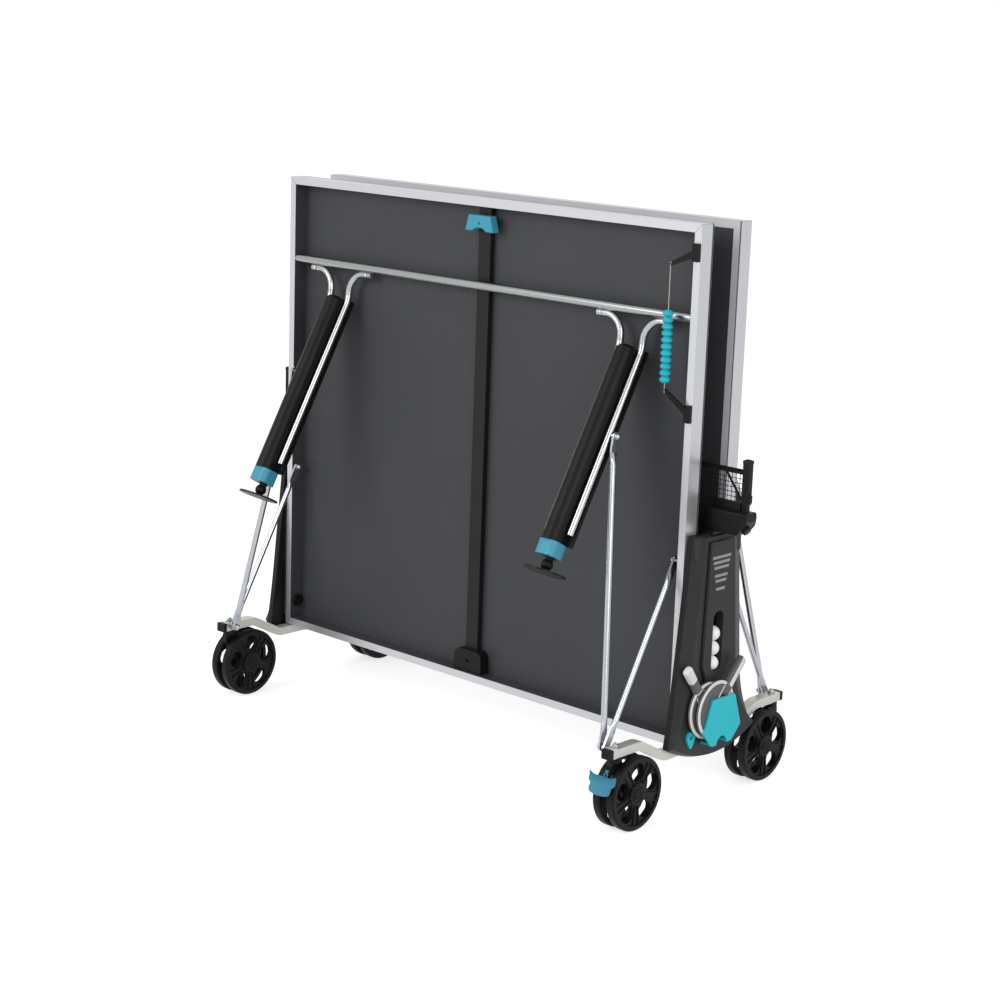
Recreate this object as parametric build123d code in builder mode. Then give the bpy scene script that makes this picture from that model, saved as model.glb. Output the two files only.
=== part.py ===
from build123d import *
from math import cos, radians, sin
import os

os.makedirs("parts", exist_ok=True)

# Folding ping pong table on a wheeled undercarriage, stored upright. Millimetres.
# X runs along the net, +Z is up, and the origin is on the floor under the middle of the net.
# The front half is at -Y. The rear half is the same half turned round the middle by 180 degrees.

# Table halves
top_width = 1525.0
half_length = 1370.0
play_height = 760.0
panel_thick = 6.0
panel_corner = 3.0
frame_depth = 50.0
rail_width = 22.0
rail_wall = 1.5
mitre_gap = 0.2

# Where a half stands when it is stored, and its gap to the net plane when it is open
stored_inset = 54.5
stored_clear = 182.0
play_inset = 6.0

# Fold pivots of a half: how far from its net edge, and how deep under its playing surface
pivot_depth = 26.0
strut_reach = 498.0
strut_depth = 40.0
leg_reach = 1131.0
leg_depth = 37.5
arm_pivot_z = 226.0
pivot_pin_radius = 7.0
strut_pin_radius = 5.0
running_gap = 0.05
side_gap = 0.5

# Legs
leg_x = 550.0
leg_lean = 25.9
neck_length = 103.0
neck_set = 5.0
cross_tube_radius = 12.5
cross_pin_radius = 8.0
leg_tube_radius = 9.5
leg_tube_flare = 121.0
leg_tube_drop = 20.0
leg_tube_x = 38.0
leg_tube_set = 5.0
flare_radius = 55.0
knee_radius = 80.0
fairing_length = 548.0
fairing_tube_length = 520.0
flange_half = 48.0
flange_low = 14.0
flange_thick = 10.0
hump_half = 27.5
hump_wall = 24.0
hump_chamfer = 10.0
collar_width = 64.0
collar_depth = 60.0
collar_height = 40.0
collar_round = 20.0
collar_set = 10.0
collar_cup_gap = 1.0
collar_cup_depth = 14.0
foot_radius = 57.5
foot_thick = 5.0
foot_neck_radius = 9.0
foot_ball_radius = 16.0
foot_ball_height = 22.0
stem_radius = 11.0
stem_length = 36.0
stem_play = 10.0

# Struts between the halves, the legs and the arms
frame_strut_x = 728.0
leg_strut_top_x = 610.0
leg_strut_low_x = 714.0
frame_strut_radius = 7.5
leg_strut_radius = 8.5
eye_radius = 11.0
eye_thick = 6.0
flat_length = 40.0
flat_taper = 34.0
bolt_head_radius = 8.0
bolt_head_height = 5.0

# Middle beam with its lock and release handle
beam_width = 44.0
beam_depth = 17.5
beam_wall = 2.0
lock_half = 52.0
lock_height = 64.0
lock_depth = 33.5
lock_round = 22.0
lock_screw_radius = 5.0
handle_top_half = 40.0
handle_low_half = 52.0
handle_height = 44.0
handle_depth = 25.0
handle_below_end = 46.0
handle_notch_half = 26.0
handle_notch_height = 10.0
handle_hole_radius = 3.5
handle_round = 3.0
handle_travel = 15.0
handle_tongue = 16.0
lock_rod_radius = 4.0

# Undercarriage
arm_x = 753.0
arm_width = 30.0
arm_height = 24.0
arm_wall = 2.5
arm_tip = 362.0
arm_tip_z = 220.0
arm_mid_z = 166.0
arm_shoulder = 250.0
arm_foot = 150.0
arm_bend = 60.0
arm_cap_length = 11.0
arm_cap_lip = 1.0
crossbar_width = 40.0
crossbar_height = 30.0
tube_round = 3.0

# Casters
wheel_radius = 100.0
wheel_width = 24.0
wheel_space = 11.0
wheel_rim = 14.0
wheel_hub_radius = 30.0
wheel_spokes = 5
window_hub_place = 43.0
window_hub_round = 10.0
window_rim_place = 60.0
window_rim_round = 24.0
wheel_recess = 4.0
wheel_round = 5.0
axle_radius = 8.0
axle_y = 279.0
swivel_y = 338.0
fork_half = 9.0
fork_axle_radius = 24.0
fork_stem_radius = 22.0
fork_stem_z = 182.0
swivel_flange_radius = 19.0
swivel_flange_thick = 12.0
swivel_pin_radius = 9.0
pedal_y = 362.0
pedal_z = 170.0
pedal_ear_radius = 7.0
pedal_pin_radius = 2.5
pedal_lug_half = 5.0
pedal_width = 84.0
pedal_length = 50.0
pedal_thick = 6.0
pedal_corner = 12.0
pedal_tilt = 24.0
pedal_drop = 28.0
pedal_out = 30.0

# End covers with guide channels
cover_in = 768.0
cover_thick = 32.0
cover_wall = 3.0
cover_top = 752.0
cover_top_half = 98.0
cover_waist = 370.0
cover_waist_half = 136.0
cover_foot = 188.0
cover_front_foot = 160.0
cover_rear_foot = 203.0
cover_low = 140.0
cover_edge = 17.0
cover_slope = 38.0
cover_foot_slope = 6.0
cover_round = 6.0
spine_raise = 7.0
spine_top = 735.0
spine_top_half = 46.0
spine_low = 400.0
spine_low_half = 58.0
spine_end = 345.0
spine_end_half = 34.0
spine_taper = 20.0
guide_cap_width = 34.0
guide_cap_height = 56.0
guide_cap_raise = 11.0
guide_width = 28.0
guide_wall = 2.5
guide_cap_round = 4.0
guide_low = 205.0
cover_boss_radius = 10.0
cover_boss_y = 60.0
shoe_height = 26.0
shoe_thick = 10.0
shoe_head_radius = 18.0
shoe_head_thick = 10.0
shoe_round = 3.0

# Ball store and bat store
ball_radius = 20.0
ball_count = 3
ball_spacing = 40.5
ball_floor = 378.0
ball_slot_length = 165.0
ball_slot_width = 44.0
ball_slot_round = 20.0
ball_trough_wall = 3.0
ball_trough_back = 1.5
bat_blade_half_width = 75.0
bat_blade_half_height = 79.0
bat_blade_thick = 10.0
bat_handle_width = 28.0
bat_handle_thick = 21.0
bat_handle_length = 87.0
bat_handle_root = 75.0
clip_x = 835.0
clip_thick = 5.0
clip_top = 315.0
clip_top_half = 48.0
clip_mid = 226.0
clip_mid_half = 80.0
clip_low = 186.0
clip_low_half = 42.0
clip_notch_radius = 22.0
clip_foot_height = 6.0
clip_foot_y = 32.0
clip_foot_width = 18.0
clip_round = 8.0
hook_y = 88.0
hook_z = 206.0
hook_width = 34.0
hook_height = 46.0
hook_thick = 6.0
hook_hole_radius = 6.0
bats = (("bat_outer", 829.0, -22.0, 284.0, 42.0), ("bat_inner", 813.0, -37.0, 280.0, -36.0))

# Net
net_rise = 170.0
net_drop = 17.5
net_cord_gap = 2.5
net_thick = 1.0
net_half = 755.0
tape_height = 13.0
tape_thick = 4.0
post_in = 861.0
post_width = 22.0
post_depth = 19.0
post_top = 948.0
post_foot = 840.0
tenon_width = 16.0
tenon_depth = 13.0
bracket_low = 760.0
bracket_top = 820.0
bracket_out = 892.0
bracket_half = 25.0
bracket_slope = 26.0
bracket_rise = 38.0
bracket_round = 6.0
bracket_edge = 5.0
bracket_socket_floor = 784.0
bracket_seat_half = 36.0
net_bar = 3.0
net_columns = 38
net_rows = 4
net_end_columns = 2
net_end_rows = 2

# Score counter
counter_x = 690.0
counter_y = 131.0
counter_top_reach = 1266.0
counter_low_reach = 945.0
counter_clip_top_reach = 1299.0
counter_clip_low_reach = 888.0
counter_clip_width = 22.0
counter_clip_height = 46.0
counter_clip_thick = 8.0
counter_arm_thick = 6.0
counter_arm_root = 18.0
counter_arm_tip = 9.0
wire_radius = 1.5
bead_radius = 14.0
bead_waist_radius = 8.0
bead_pitch = 17.0
bead_count = 11


# Places worked out from the sizes above
def stored(reach, depth, x=0.0):
    """A point of the front half while the table is stored."""
    return Vector(x, -(stored_inset + depth), stored_clear + reach)


def opened(reach, depth, x=0.0):
    """The same point of the front half with the table open for play."""
    return Vector(x, -(play_inset + reach), play_height - depth)


def write(part, name):
    """Label a finished piece and write it."""
    part.label = name
    export_step(part, f"parts/{name}.step")


def write_both_halves(part, name):
    """Write a front piece and its rear twin, turned round the middle of the table."""
    write(part, f"front_{name}")
    write(part.rotate(Axis.Z, 180), f"rear_{name}")


def underside(reach, depth, x=0.0):
    """A plane in the stored front half that faces away from the playing surface."""
    return Plane(stored(reach, depth, x), x_dir=(1, 0, 0), z_dir=(0, -1, 0))


half_width = top_width / 2
rail_depth = frame_depth - panel_thick
rail_inside = half_width - rail_width

# The guide pins slide straight up, so their place in a half follows from the two gaps
pivot_reach = stored_inset + pivot_depth - play_inset
pivot_stored = stored(pivot_reach, pivot_depth)
guide_y = stored_inset + pivot_depth

# The struts' pivot on the arm is as far from the upper pivot when stored as when open
strut_top = stored(strut_reach, strut_depth)
strut_chord = opened(strut_reach, strut_depth) - strut_top
strut_mid = strut_top + strut_chord / 2
arm_pivot_y = strut_mid.Y + (strut_mid.Z - arm_pivot_z) * strut_chord.Z / strut_chord.Y
arm_pivot = Vector(0, arm_pivot_y, arm_pivot_z)

# A leg hangs from the cross tube and stands plumb under it when the table is open
leg_pivot = stored(leg_reach, leg_depth)
leg_length = play_height - leg_depth
leg_line = Vector(0, -sin(radians(leg_lean)), -cos(radians(leg_lean)))
foot_point = leg_pivot + leg_line * leg_length
knee = stored(leg_reach - neck_length, leg_depth + neck_set)
fairing_line = (foot_point - knee).normalized()
outward = fairing_line.cross(Vector(1, 0, 0))

# The leg strut's upper bolt sits where its distance to the arm is the same stored and open
tube_start = knee + outward * leg_tube_set
tube_start_open = opened(leg_reach, leg_depth) + (tube_start - leg_pivot).rotate(Axis.X, leg_lean)
fairing_line_open = fairing_line.rotate(Axis.X, leg_lean)
stored_arm = tube_start - arm_pivot
opened_arm = tube_start_open - arm_pivot
bolt_reach = (opened_arm.dot(opened_arm) - stored_arm.dot(stored_arm)) / (
    2 * (stored_arm.dot(fairing_line) - opened_arm.dot(fairing_line_open)))
leg_bolt = tube_start + fairing_line * bolt_reach


def leg_plane(x, distance=0.0):
    """A plane square to a leg's fairing, at a distance below the knee."""
    origin = knee + fairing_line * distance + Vector(x, 0, 0)
    return Plane(origin, x_dir=(1, 0, 0), z_dir=fairing_line)


def along_x(x, point):
    """A plane facing +X at a point's height and depth."""
    return Plane((x, point.Y, point.Z), x_dir=(0, 1, 0), z_dir=(1, 0, 0))


# Playing surface of a half
with BuildPart() as top_panel:
    with BuildSketch(underside(half_length / 2, 0)):
        RectangleRounded(top_width, half_length, panel_corner)
    extrude(amount=panel_thick)
write_both_halves(top_panel.part, "top_panel")

# Frame of four mitred channel rails, open towards the panel, with holes for the pivot pins
with BuildPart() as frame_rails:
    for turn in range(4):
        edge, across = ((top_width, half_length), (half_length, top_width))[turn % 2]
        side = Plane(stored(half_length / 2, panel_thick), z_dir=(0, -1, 0),
                     x_dir=Vector(1, 0, 0).rotate(Axis.Y, -90 * turn))
        with BuildSketch(side):
            with Locations((0, -across / 2)):
                Trapezoid(edge - 2 * mitre_gap, rail_width, 45, align=(Align.CENTER, Align.MIN))
        extrude(amount=rail_depth)
        with BuildSketch(side):
            with Locations((0, rail_wall - across / 2)):
                Trapezoid(edge - 2 * rail_wall, rail_width - 2 * rail_wall, 45,
                          align=(Align.CENTER, Align.MIN))
        extrude(amount=rail_depth - rail_wall, mode=Mode.SUBTRACT)
    for hand in (-1, 1):
        with BuildSketch(along_x(hand * half_width, pivot_stored)):
            Circle(pivot_pin_radius + running_gap)
        extrude(amount=-hand * rail_width, mode=Mode.SUBTRACT)
        for point, radius in ((strut_top, strut_pin_radius), (leg_pivot, cross_pin_radius)):
            with BuildSketch(along_x(hand * rail_inside, point)):
                Circle(radius + running_gap)
            extrude(amount=hand * rail_wall, mode=Mode.SUBTRACT)
write_both_halves(frame_rails.part, "frame_rails")

# Channel beam down the middle of the underside, slotted for the handle's tongue
beam_reach = rail_width
beam_length = half_length - 2 * rail_width
handle_reach = half_length - handle_below_end - handle_height
tongue_reach = handle_reach + handle_height / 2
with BuildPart() as centre_beam:
    with BuildSketch(underside(half_length / 2, panel_thick)):
        Rectangle(beam_width, beam_length)
    extrude(amount=beam_depth)
    with BuildSketch(underside(half_length / 2, panel_thick)):
        Rectangle(beam_width - 2 * beam_wall, beam_length)
    extrude(amount=beam_depth - beam_wall, mode=Mode.SUBTRACT)
    with BuildSketch(underside(tongue_reach + handle_travel / 2, panel_thick + beam_depth)):
        Rectangle(handle_tongue + 2 * side_gap, handle_tongue + handle_travel + 2 * side_gap)
    extrude(amount=-beam_wall, mode=Mode.SUBTRACT)
write_both_halves(centre_beam.part, "centre_beam")

# Lock housing over the beam's lower end
with BuildPart() as lock_block:
    with BuildSketch(underside(beam_reach, panel_thick)):
        Rectangle(2 * lock_half, lock_height, align=(Align.CENTER, Align.MIN))
        fillet(vertices().group_by(Axis.Y)[-1], lock_round)
    extrude(amount=lock_depth)
    with BuildSketch(underside(beam_reach, panel_thick)):
        Rectangle(beam_width, lock_height, align=(Align.CENTER, Align.MIN))
    extrude(amount=beam_depth, mode=Mode.SUBTRACT)
    with BuildSketch(underside(beam_reach + lock_height / 2, panel_thick + lock_depth)):
        Circle(lock_screw_radius)
    extrude(amount=-(lock_depth - beam_depth) / 2, mode=Mode.SUBTRACT)
write_both_halves(lock_block.part, "lock_block")

# Release handle with its tongue and the rod that runs down the beam to the lock
handle_back = panel_thick + beam_depth + side_gap
rod_depth = panel_thick + (beam_depth - beam_wall) / 2
rod_reach = beam_reach + lock_height / 2
with BuildPart() as release_handle:
    with BuildSketch(underside(handle_reach, handle_back)):
        with BuildLine():
            Polyline((handle_notch_half, 0), (handle_low_half, 0), (handle_top_half, handle_height),
                     (-handle_top_half, handle_height), (-handle_low_half, 0), (-handle_notch_half, 0))
            ThreePointArc((-handle_notch_half, 0), (0, handle_notch_height), (handle_notch_half, 0))
        make_face()
    extrude(amount=handle_depth)
    fillet(release_handle.faces().sort_by(Axis.Y)[0].edges(), handle_round)
    with BuildSketch(underside(tongue_reach, handle_back + handle_depth)):
        Circle(handle_hole_radius)
    extrude(amount=-handle_depth / 4, mode=Mode.SUBTRACT)
    with BuildSketch(underside(tongue_reach, rod_depth)):
        Rectangle(handle_tongue, handle_tongue)
    extrude(amount=handle_back - rod_depth)
    with BuildSketch(Plane(stored(rod_reach, rod_depth))):
        Circle(lock_rod_radius)
    extrude(amount=tongue_reach + handle_tongue / 2 - rod_reach)
write_both_halves(release_handle.part, "release_handle")

# Guide shoes: each has a pin through the side rail and a round head inside the frame
with BuildPart() as guide_shoes:
    head_start = rail_inside - side_gap - shoe_head_thick
    with BuildSketch(along_x(head_start, pivot_stored)):
        Circle(shoe_head_radius)
    extrude(amount=shoe_head_thick)
    with BuildSketch(along_x(head_start, pivot_stored)):
        Circle(pivot_pin_radius)
    extrude(amount=cover_in + side_gap + shoe_thick - head_start)
    with BuildSketch(along_x(cover_in + side_gap, pivot_stored)):
        RectangleRounded(guide_width - 2 * guide_wall - 2 * side_gap, shoe_height, shoe_round)
    extrude(amount=shoe_thick)
    mirror(about=Plane.YZ)
write_both_halves(guide_shoes.part, "guide_shoes")

# Cross tube that turns between the side rails
with BuildPart() as leg_cross_tube:
    with BuildSketch(along_x(-rail_inside + side_gap, leg_pivot)):
        Circle(cross_tube_radius)
    extrude(amount=2 * (rail_inside - side_gap))
    with BuildSketch(along_x(-rail_inside - rail_wall, leg_pivot)):
        Circle(cross_pin_radius)
    extrude(amount=2 * (rail_inside + rail_wall))
write_both_halves(leg_cross_tube.part, "leg_cross_tube")

# Bent leg tubes, notched to seat under the cross tube and drilled for the leg struts' bolts
with BuildPart() as leg_tubes:
    for side in (-1, 1):
        tube_top = leg_pivot - Vector(0, 0, leg_tube_drop)
        with BuildLine() as bend:
            FilletPolyline(
                tube_top + Vector(leg_x + side * leg_tube_flare, 0, 0),
                tube_top + Vector(leg_x + side * leg_tube_x, 0, 0),
                tube_start + Vector(leg_x + side * leg_tube_x, 0, 0),
                tube_start + fairing_line * fairing_tube_length + Vector(leg_x + side * leg_tube_x, 0, 0),
                radius=[flare_radius, knee_radius])
        with BuildSketch(Plane(bend.line @ 0, z_dir=bend.line % 0)):
            Circle(leg_tube_radius)
        sweep(path=bend.line)
    with BuildSketch(along_x(leg_x + leg_tube_x - leg_tube_radius, leg_bolt)):
        Circle(strut_pin_radius + running_gap)
    extrude(amount=2 * leg_tube_radius, mode=Mode.SUBTRACT)
    mirror(about=Plane.YZ)
    add(leg_cross_tube.part, mode=Mode.SUBTRACT)
write_both_halves(leg_tubes.part, "leg_tubes")

# Moulded leg fairings: a flange that the tubes lie on, with a rounded hump between them
with BuildPart() as leg_fairings:
    with BuildSketch(leg_plane(leg_x)):
        with Locations((0, -flange_low)):
            Rectangle(2 * flange_half, flange_thick, align=(Align.CENTER, Align.MIN))
        with Locations((0, flange_thick - flange_low)):
            Rectangle(2 * hump_half, hump_wall, align=(Align.CENTER, Align.MIN))
        with Locations((0, flange_thick - flange_low + hump_wall)):
            Circle(hump_half)
    extrude(amount=fairing_length)
    chamfer(leg_fairings.edges().filter_by(GeomType.CIRCLE).sort_by(Axis.Z)[-1], hump_chamfer)
    mirror(about=Plane.YZ)
    add(leg_tubes.part, mode=Mode.SUBTRACT)
write_both_halves(leg_fairings.part, "leg_fairings")

# Collars that close the fairings, each with a bore for the foot's stem and a cup for its ball
with BuildPart() as leg_collars:
    with BuildSketch(leg_plane(leg_x, fairing_length)):
        with Locations((0, collar_set)):
            RectangleRounded(collar_width, collar_depth, collar_round)
    extrude(amount=collar_height)
    with BuildSketch(leg_plane(leg_x, fairing_length + collar_height)):
        Circle(stem_radius + running_gap)
    extrude(amount=-(stem_length + stem_play - collar_height / 2), mode=Mode.SUBTRACT)
    with BuildSketch(leg_plane(leg_x, fairing_length + collar_height)):
        Circle(foot_ball_radius + collar_cup_gap)
    extrude(amount=-collar_cup_depth, mode=Mode.SUBTRACT)
    mirror(about=Plane.YZ)
write_both_halves(leg_collars.part, "leg_collars")

# Levelling feet: a stem, a ball and a disc that lies flat when the table is open
stem_top = fairing_length + collar_height - stem_length / 2
stem_reach = (foot_point - knee).length - foot_ball_height - stem_top
for hand, hand_name in ((-1, "left"), (1, "right")):
    foot_place = foot_point + Vector(hand * leg_x, 0, 0)
    ball_centre = foot_place - leg_line * foot_ball_height
    with BuildPart() as foot:
        with BuildSketch(Plane(foot_place, x_dir=(1, 0, 0), z_dir=leg_line)):
            Circle(foot_radius)
        extrude(amount=-foot_thick)
        with BuildSketch(Plane(foot_place, x_dir=(1, 0, 0), z_dir=leg_line)):
            Circle(foot_neck_radius)
        extrude(amount=-foot_ball_height)
        with Locations(ball_centre):
            Sphere(foot_ball_radius)
        with BuildSketch(leg_plane(hand * leg_x, stem_top)):
            Circle(stem_radius)
        extrude(amount=stem_reach)
    write_both_halves(foot.part, f"foot_{hand_name}")


def strut_tube(top, low, radius):
    """A round tube between two bolt points, with each end pressed flat into an eye across X."""
    run = Vector(0, low.Y - top.Y, low.Z - top.Z).normalized()
    flat_ends = (top + run * flat_length, low - run * flat_length)
    axis = (flat_ends[1] - flat_ends[0]).normalized()
    round_ends = (flat_ends[0] + axis * flat_taper, flat_ends[1] - axis * flat_taper)
    for eye, flat_end, round_end, side in zip((top, low), flat_ends, round_ends, (1, -1)):
        with BuildSketch(along_x(eye.X - eye_thick / 2, eye)) as disc:
            Circle(eye_radius)
        extrude(disc.sketch, amount=eye_thick)
        with BuildSketch(Plane(flat_end, x_dir=(1, 0, 0), z_dir=run * side)) as flat:
            Rectangle(eye_thick, 2 * eye_radius)
        extrude(flat.sketch, amount=-flat_length)
        with BuildSketch(Plane(round_end, x_dir=(1, 0, 0), z_dir=axis * side)) as round_start:
            Circle(radius)
        loft([flat.sketch, round_start.sketch])
    with BuildSketch(Plane(round_ends[0], x_dir=(1, 0, 0), z_dir=axis)) as tube:
        Circle(radius)
    extrude(tube.sketch, amount=(round_ends[1] - round_ends[0]).length)


def bolt(start_x, end_x, point, radius):
    """A round bolt or its head along X, from one x to another."""
    with BuildSketch(along_x(start_x, point)) as section:
        Circle(radius)
    extrude(section.sketch, amount=end_x - start_x)


# Frame struts: bolted to the side rails above, their lower bolts end just short of the arms
arm_inside = arm_x - arm_width / 2
frame_head_x = frame_strut_x - eye_thick / 2 - bolt_head_height
with BuildPart() as frame_struts:
    strut_tube(strut_top + Vector(frame_strut_x, 0, 0), arm_pivot + Vector(frame_strut_x, 0, 0),
               frame_strut_radius)
    bolt(frame_head_x, rail_inside + rail_wall, strut_top, strut_pin_radius)
    bolt(frame_head_x, arm_inside - side_gap, arm_pivot, strut_pin_radius)
    for point in (strut_top, arm_pivot):
        bolt(frame_head_x, frame_head_x + bolt_head_height, point, bolt_head_radius)
    mirror(about=Plane.YZ)
write_both_halves(frame_struts.part, "frame_struts")

# Leg struts: bolted through the outer leg tubes, inboard of the frame struts at the arms
leg_head_x = leg_strut_top_x + eye_thick / 2 + bolt_head_height
low_head_x = leg_strut_low_x - eye_thick / 2 - bolt_head_height
with BuildPart() as leg_struts:
    strut_tube(leg_bolt + Vector(leg_strut_top_x, 0, 0), arm_pivot + Vector(leg_strut_low_x, 0, 0),
               leg_strut_radius)
    bolt(leg_x + leg_tube_x - leg_tube_radius, leg_head_x, leg_bolt, strut_pin_radius)
    bolt(leg_head_x - bolt_head_height, leg_head_x, leg_bolt, bolt_head_radius)
    bolt(low_head_x, low_head_x + bolt_head_height, arm_pivot, bolt_head_radius)
    mirror(about=Plane.YZ)
write_both_halves(leg_struts.part, "leg_struts")

# Outrigger arms: rectangular tube cranked down under the end covers, bored for the casters
with BuildPart() as outrigger_arms:
    with BuildLine(Plane.YZ.offset(arm_x)) as arm_path:
        FilletPolyline((-arm_tip, arm_tip_z), (-arm_shoulder, arm_tip_z), (-arm_foot, arm_mid_z),
                       (arm_foot, arm_mid_z), (arm_shoulder, arm_tip_z), (arm_tip, arm_tip_z),
                       radius=arm_bend)
    with BuildSketch(Plane(arm_path.line @ 0, x_dir=(1, 0, 0), z_dir=arm_path.line % 0)):
        Rectangle(arm_width, arm_height)
        Rectangle(arm_width - 2 * arm_wall, arm_height - 2 * arm_wall, mode=Mode.SUBTRACT)
    sweep(path=arm_path.line)
    with BuildSketch(Plane.XY.offset(arm_tip_z - arm_height / 2)):
        with Locations((arm_x, -swivel_y), (arm_x, swivel_y)):
            Circle(swivel_pin_radius + running_gap)
    extrude(amount=arm_height, mode=Mode.SUBTRACT)
    mirror(about=Plane.YZ)
write(outrigger_arms.part, "outrigger_arms")

# Crossbar between the two arms, under the net
with BuildPart() as crossbar:
    with BuildSketch(Plane.YZ.offset(-arm_inside)):
        with Locations((0, arm_mid_z)):
            RectangleRounded(crossbar_width, crossbar_height, tube_round)
            Rectangle(crossbar_width - 2 * arm_wall, crossbar_height - 2 * arm_wall, mode=Mode.SUBTRACT)
    extrude(amount=2 * arm_inside)
write(crossbar.part, "crossbar")

# Plastic caps on the arms' four tips
with BuildPart() as arm_end_caps:
    with BuildSketch(Plane.XZ.offset(arm_tip)):
        with Locations((arm_x, arm_tip_z)):
            RectangleRounded(arm_width + 2 * arm_cap_lip, arm_height + 2 * arm_cap_lip, tube_round)
    extrude(amount=arm_cap_length)
    mirror(about=Plane.YZ)
    mirror(about=Plane.XZ)
write(arm_end_caps.part, "arm_end_caps")

# Casters: each has a fork that swivels under an arm's tip and a pair of spoked wheels on one axle
arm_low = arm_tip_z - arm_height / 2
with BuildSketch() as wheel_window:
    with Locations((window_hub_place, 0)):
        Circle(window_hub_round)
    with Locations((window_rim_place, 0)):
        Circle(window_rim_round)
    make_hull()
for hand, hand_name in ((1, "right"), (-1, "left")):
    caster_x = hand * arm_x
    with BuildPart() as fork:
        with BuildSketch(Plane.YZ.offset(caster_x - fork_half)):
            with Locations((-axle_y, wheel_radius)):
                Circle(fork_axle_radius)
            with Locations((-swivel_y, fork_stem_z)):
                Circle(fork_stem_radius)
            make_hull()
        extrude(amount=2 * fork_half)
        if hand > 0:
            with BuildSketch(Plane.YZ.offset(caster_x - fork_half)):
                with Locations((-pedal_y, pedal_z)):
                    Circle(pedal_ear_radius)
                with Locations((-swivel_y, fork_stem_z)):
                    Circle(fork_stem_radius / 2)
                make_hull()
            extrude(amount=2 * fork_half)
            with BuildSketch(Plane.YZ.offset(caster_x - pedal_lug_half - side_gap)):
                with Locations((-pedal_y, pedal_z)):
                    Circle(pedal_ear_radius + side_gap)
            extrude(amount=2 * (pedal_lug_half + side_gap), mode=Mode.SUBTRACT)
            with BuildSketch(Plane.YZ.offset(caster_x - fork_half)):
                with Locations((-pedal_y, pedal_z)):
                    Circle(pedal_pin_radius)
            extrude(amount=2 * fork_half)
        with BuildSketch(Plane.XY.offset(arm_low - side_gap)):
            with Locations((caster_x, -swivel_y)):
                Circle(swivel_flange_radius)
        extrude(amount=-swivel_flange_thick)
        with BuildSketch(Plane.XY.offset(fork_stem_z)):
            with Locations((caster_x, -swivel_y)):
                Circle(swivel_pin_radius)
        extrude(amount=arm_tip_z + arm_height / 2 - fork_stem_z)
        with BuildSketch(Plane.YZ.offset(caster_x - wheel_space - wheel_width)):
            with Locations((-axle_y, wheel_radius)):
                Circle(axle_radius)
        extrude(amount=2 * (wheel_space + wheel_width))
    with BuildPart() as wheels:
        with BuildSketch(Plane.YZ.offset(caster_x + wheel_space)):
            with Locations((-axle_y, wheel_radius)):
                Circle(wheel_radius)
                Circle(wheel_radius - wheel_rim, mode=Mode.SUBTRACT)
                Circle(wheel_hub_radius)
        extrude(amount=wheel_width)
        fillet(wheels.edges().filter_by(GeomType.CIRCLE).group_by(SortBy.RADIUS)[-1], wheel_round)
        with BuildSketch(Plane.YZ.offset(caster_x + wheel_space + wheel_recess)):
            with Locations((-axle_y, wheel_radius)):
                Circle(wheel_radius - wheel_rim)
                with PolarLocations(0, wheel_spokes, start_angle=90):
                    add(wheel_window.sketch, mode=Mode.SUBTRACT)
        extrude(amount=wheel_width - 2 * wheel_recess)
        with BuildSketch(Plane.YZ.offset(caster_x + wheel_space)):
            with Locations((-axle_y, wheel_radius)):
                Circle(axle_radius + running_gap)
        extrude(amount=wheel_width, mode=Mode.SUBTRACT)
        mirror(about=Plane.YZ.offset(caster_x))
    write(fork.part, f"front_{hand_name}_fork")
    write(wheels.part, f"front_{hand_name}_wheels")
    opposite_name = "left" if hand > 0 else "right"
    write(fork.part.rotate(Axis.Z, 180), f"rear_{opposite_name}_fork")
    write(wheels.part.rotate(Axis.Z, 180), f"rear_{opposite_name}_wheels")

# Brake pedals: a tilted plate on a lug that turns on the pin between a fork's ears
plate_centre = Vector(arm_x, -pedal_y - pedal_out, pedal_z - pedal_drop)
plate_face = Vector(0, -1, 0).rotate(Axis.X, -pedal_tilt)
with BuildPart() as brake_pedal:
    with BuildSketch(Plane.YZ.offset(arm_x - pedal_lug_half)):
        with Locations((-pedal_y, pedal_z)):
            Circle(pedal_ear_radius)
        with Locations((plate_centre.Y, plate_centre.Z)):
            Circle(pedal_thick / 2)
        make_hull()
    extrude(amount=2 * pedal_lug_half)
    with BuildSketch(Plane(plate_centre, x_dir=(1, 0, 0), z_dir=plate_face)):
        RectangleRounded(pedal_width, pedal_length, pedal_corner)
    extrude(amount=pedal_thick / 2, both=True)
    with BuildSketch(Plane.YZ.offset(arm_x - pedal_lug_half)):
        with Locations((-pedal_y, pedal_z)):
            Circle(pedal_pin_radius + running_gap)
    extrude(amount=2 * pedal_lug_half, mode=Mode.SUBTRACT)
write_both_halves(brake_pedal.part, "brake_pedal")

# End covers: hollow mouldings open towards the table, with a raised spine and a trough for balls
cover_out = cover_in + cover_thick
slot_middle = ball_floor + ball_slot_length / 2


def cover_outline(x, slope, rim):
    """The cover's outline at x along the table, with its flanks and its rim drawn in."""
    top = cover_top - rim
    foot = cover_foot + rim
    top_half = cover_top_half - slope
    waist_half = cover_waist_half - slope
    with BuildSketch(Plane.YZ.offset(x)) as outline:
        with BuildLine():
            for hand, foot_half in ((1, cover_rear_foot - rim), (-1, cover_front_foot - rim)):
                flank = Line((hand * top_half, top), (hand * waist_half, cover_waist))
                TangentArc(flank @ 1, (hand * foot_half, foot), tangent=flank % 1)
            Line((-top_half, top), (top_half, top))
            ThreePointArc((rim - cover_front_foot, foot), (0, cover_low + rim),
                          (cover_rear_foot - rim, foot))
        make_face()
    return outline.sketch


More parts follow.
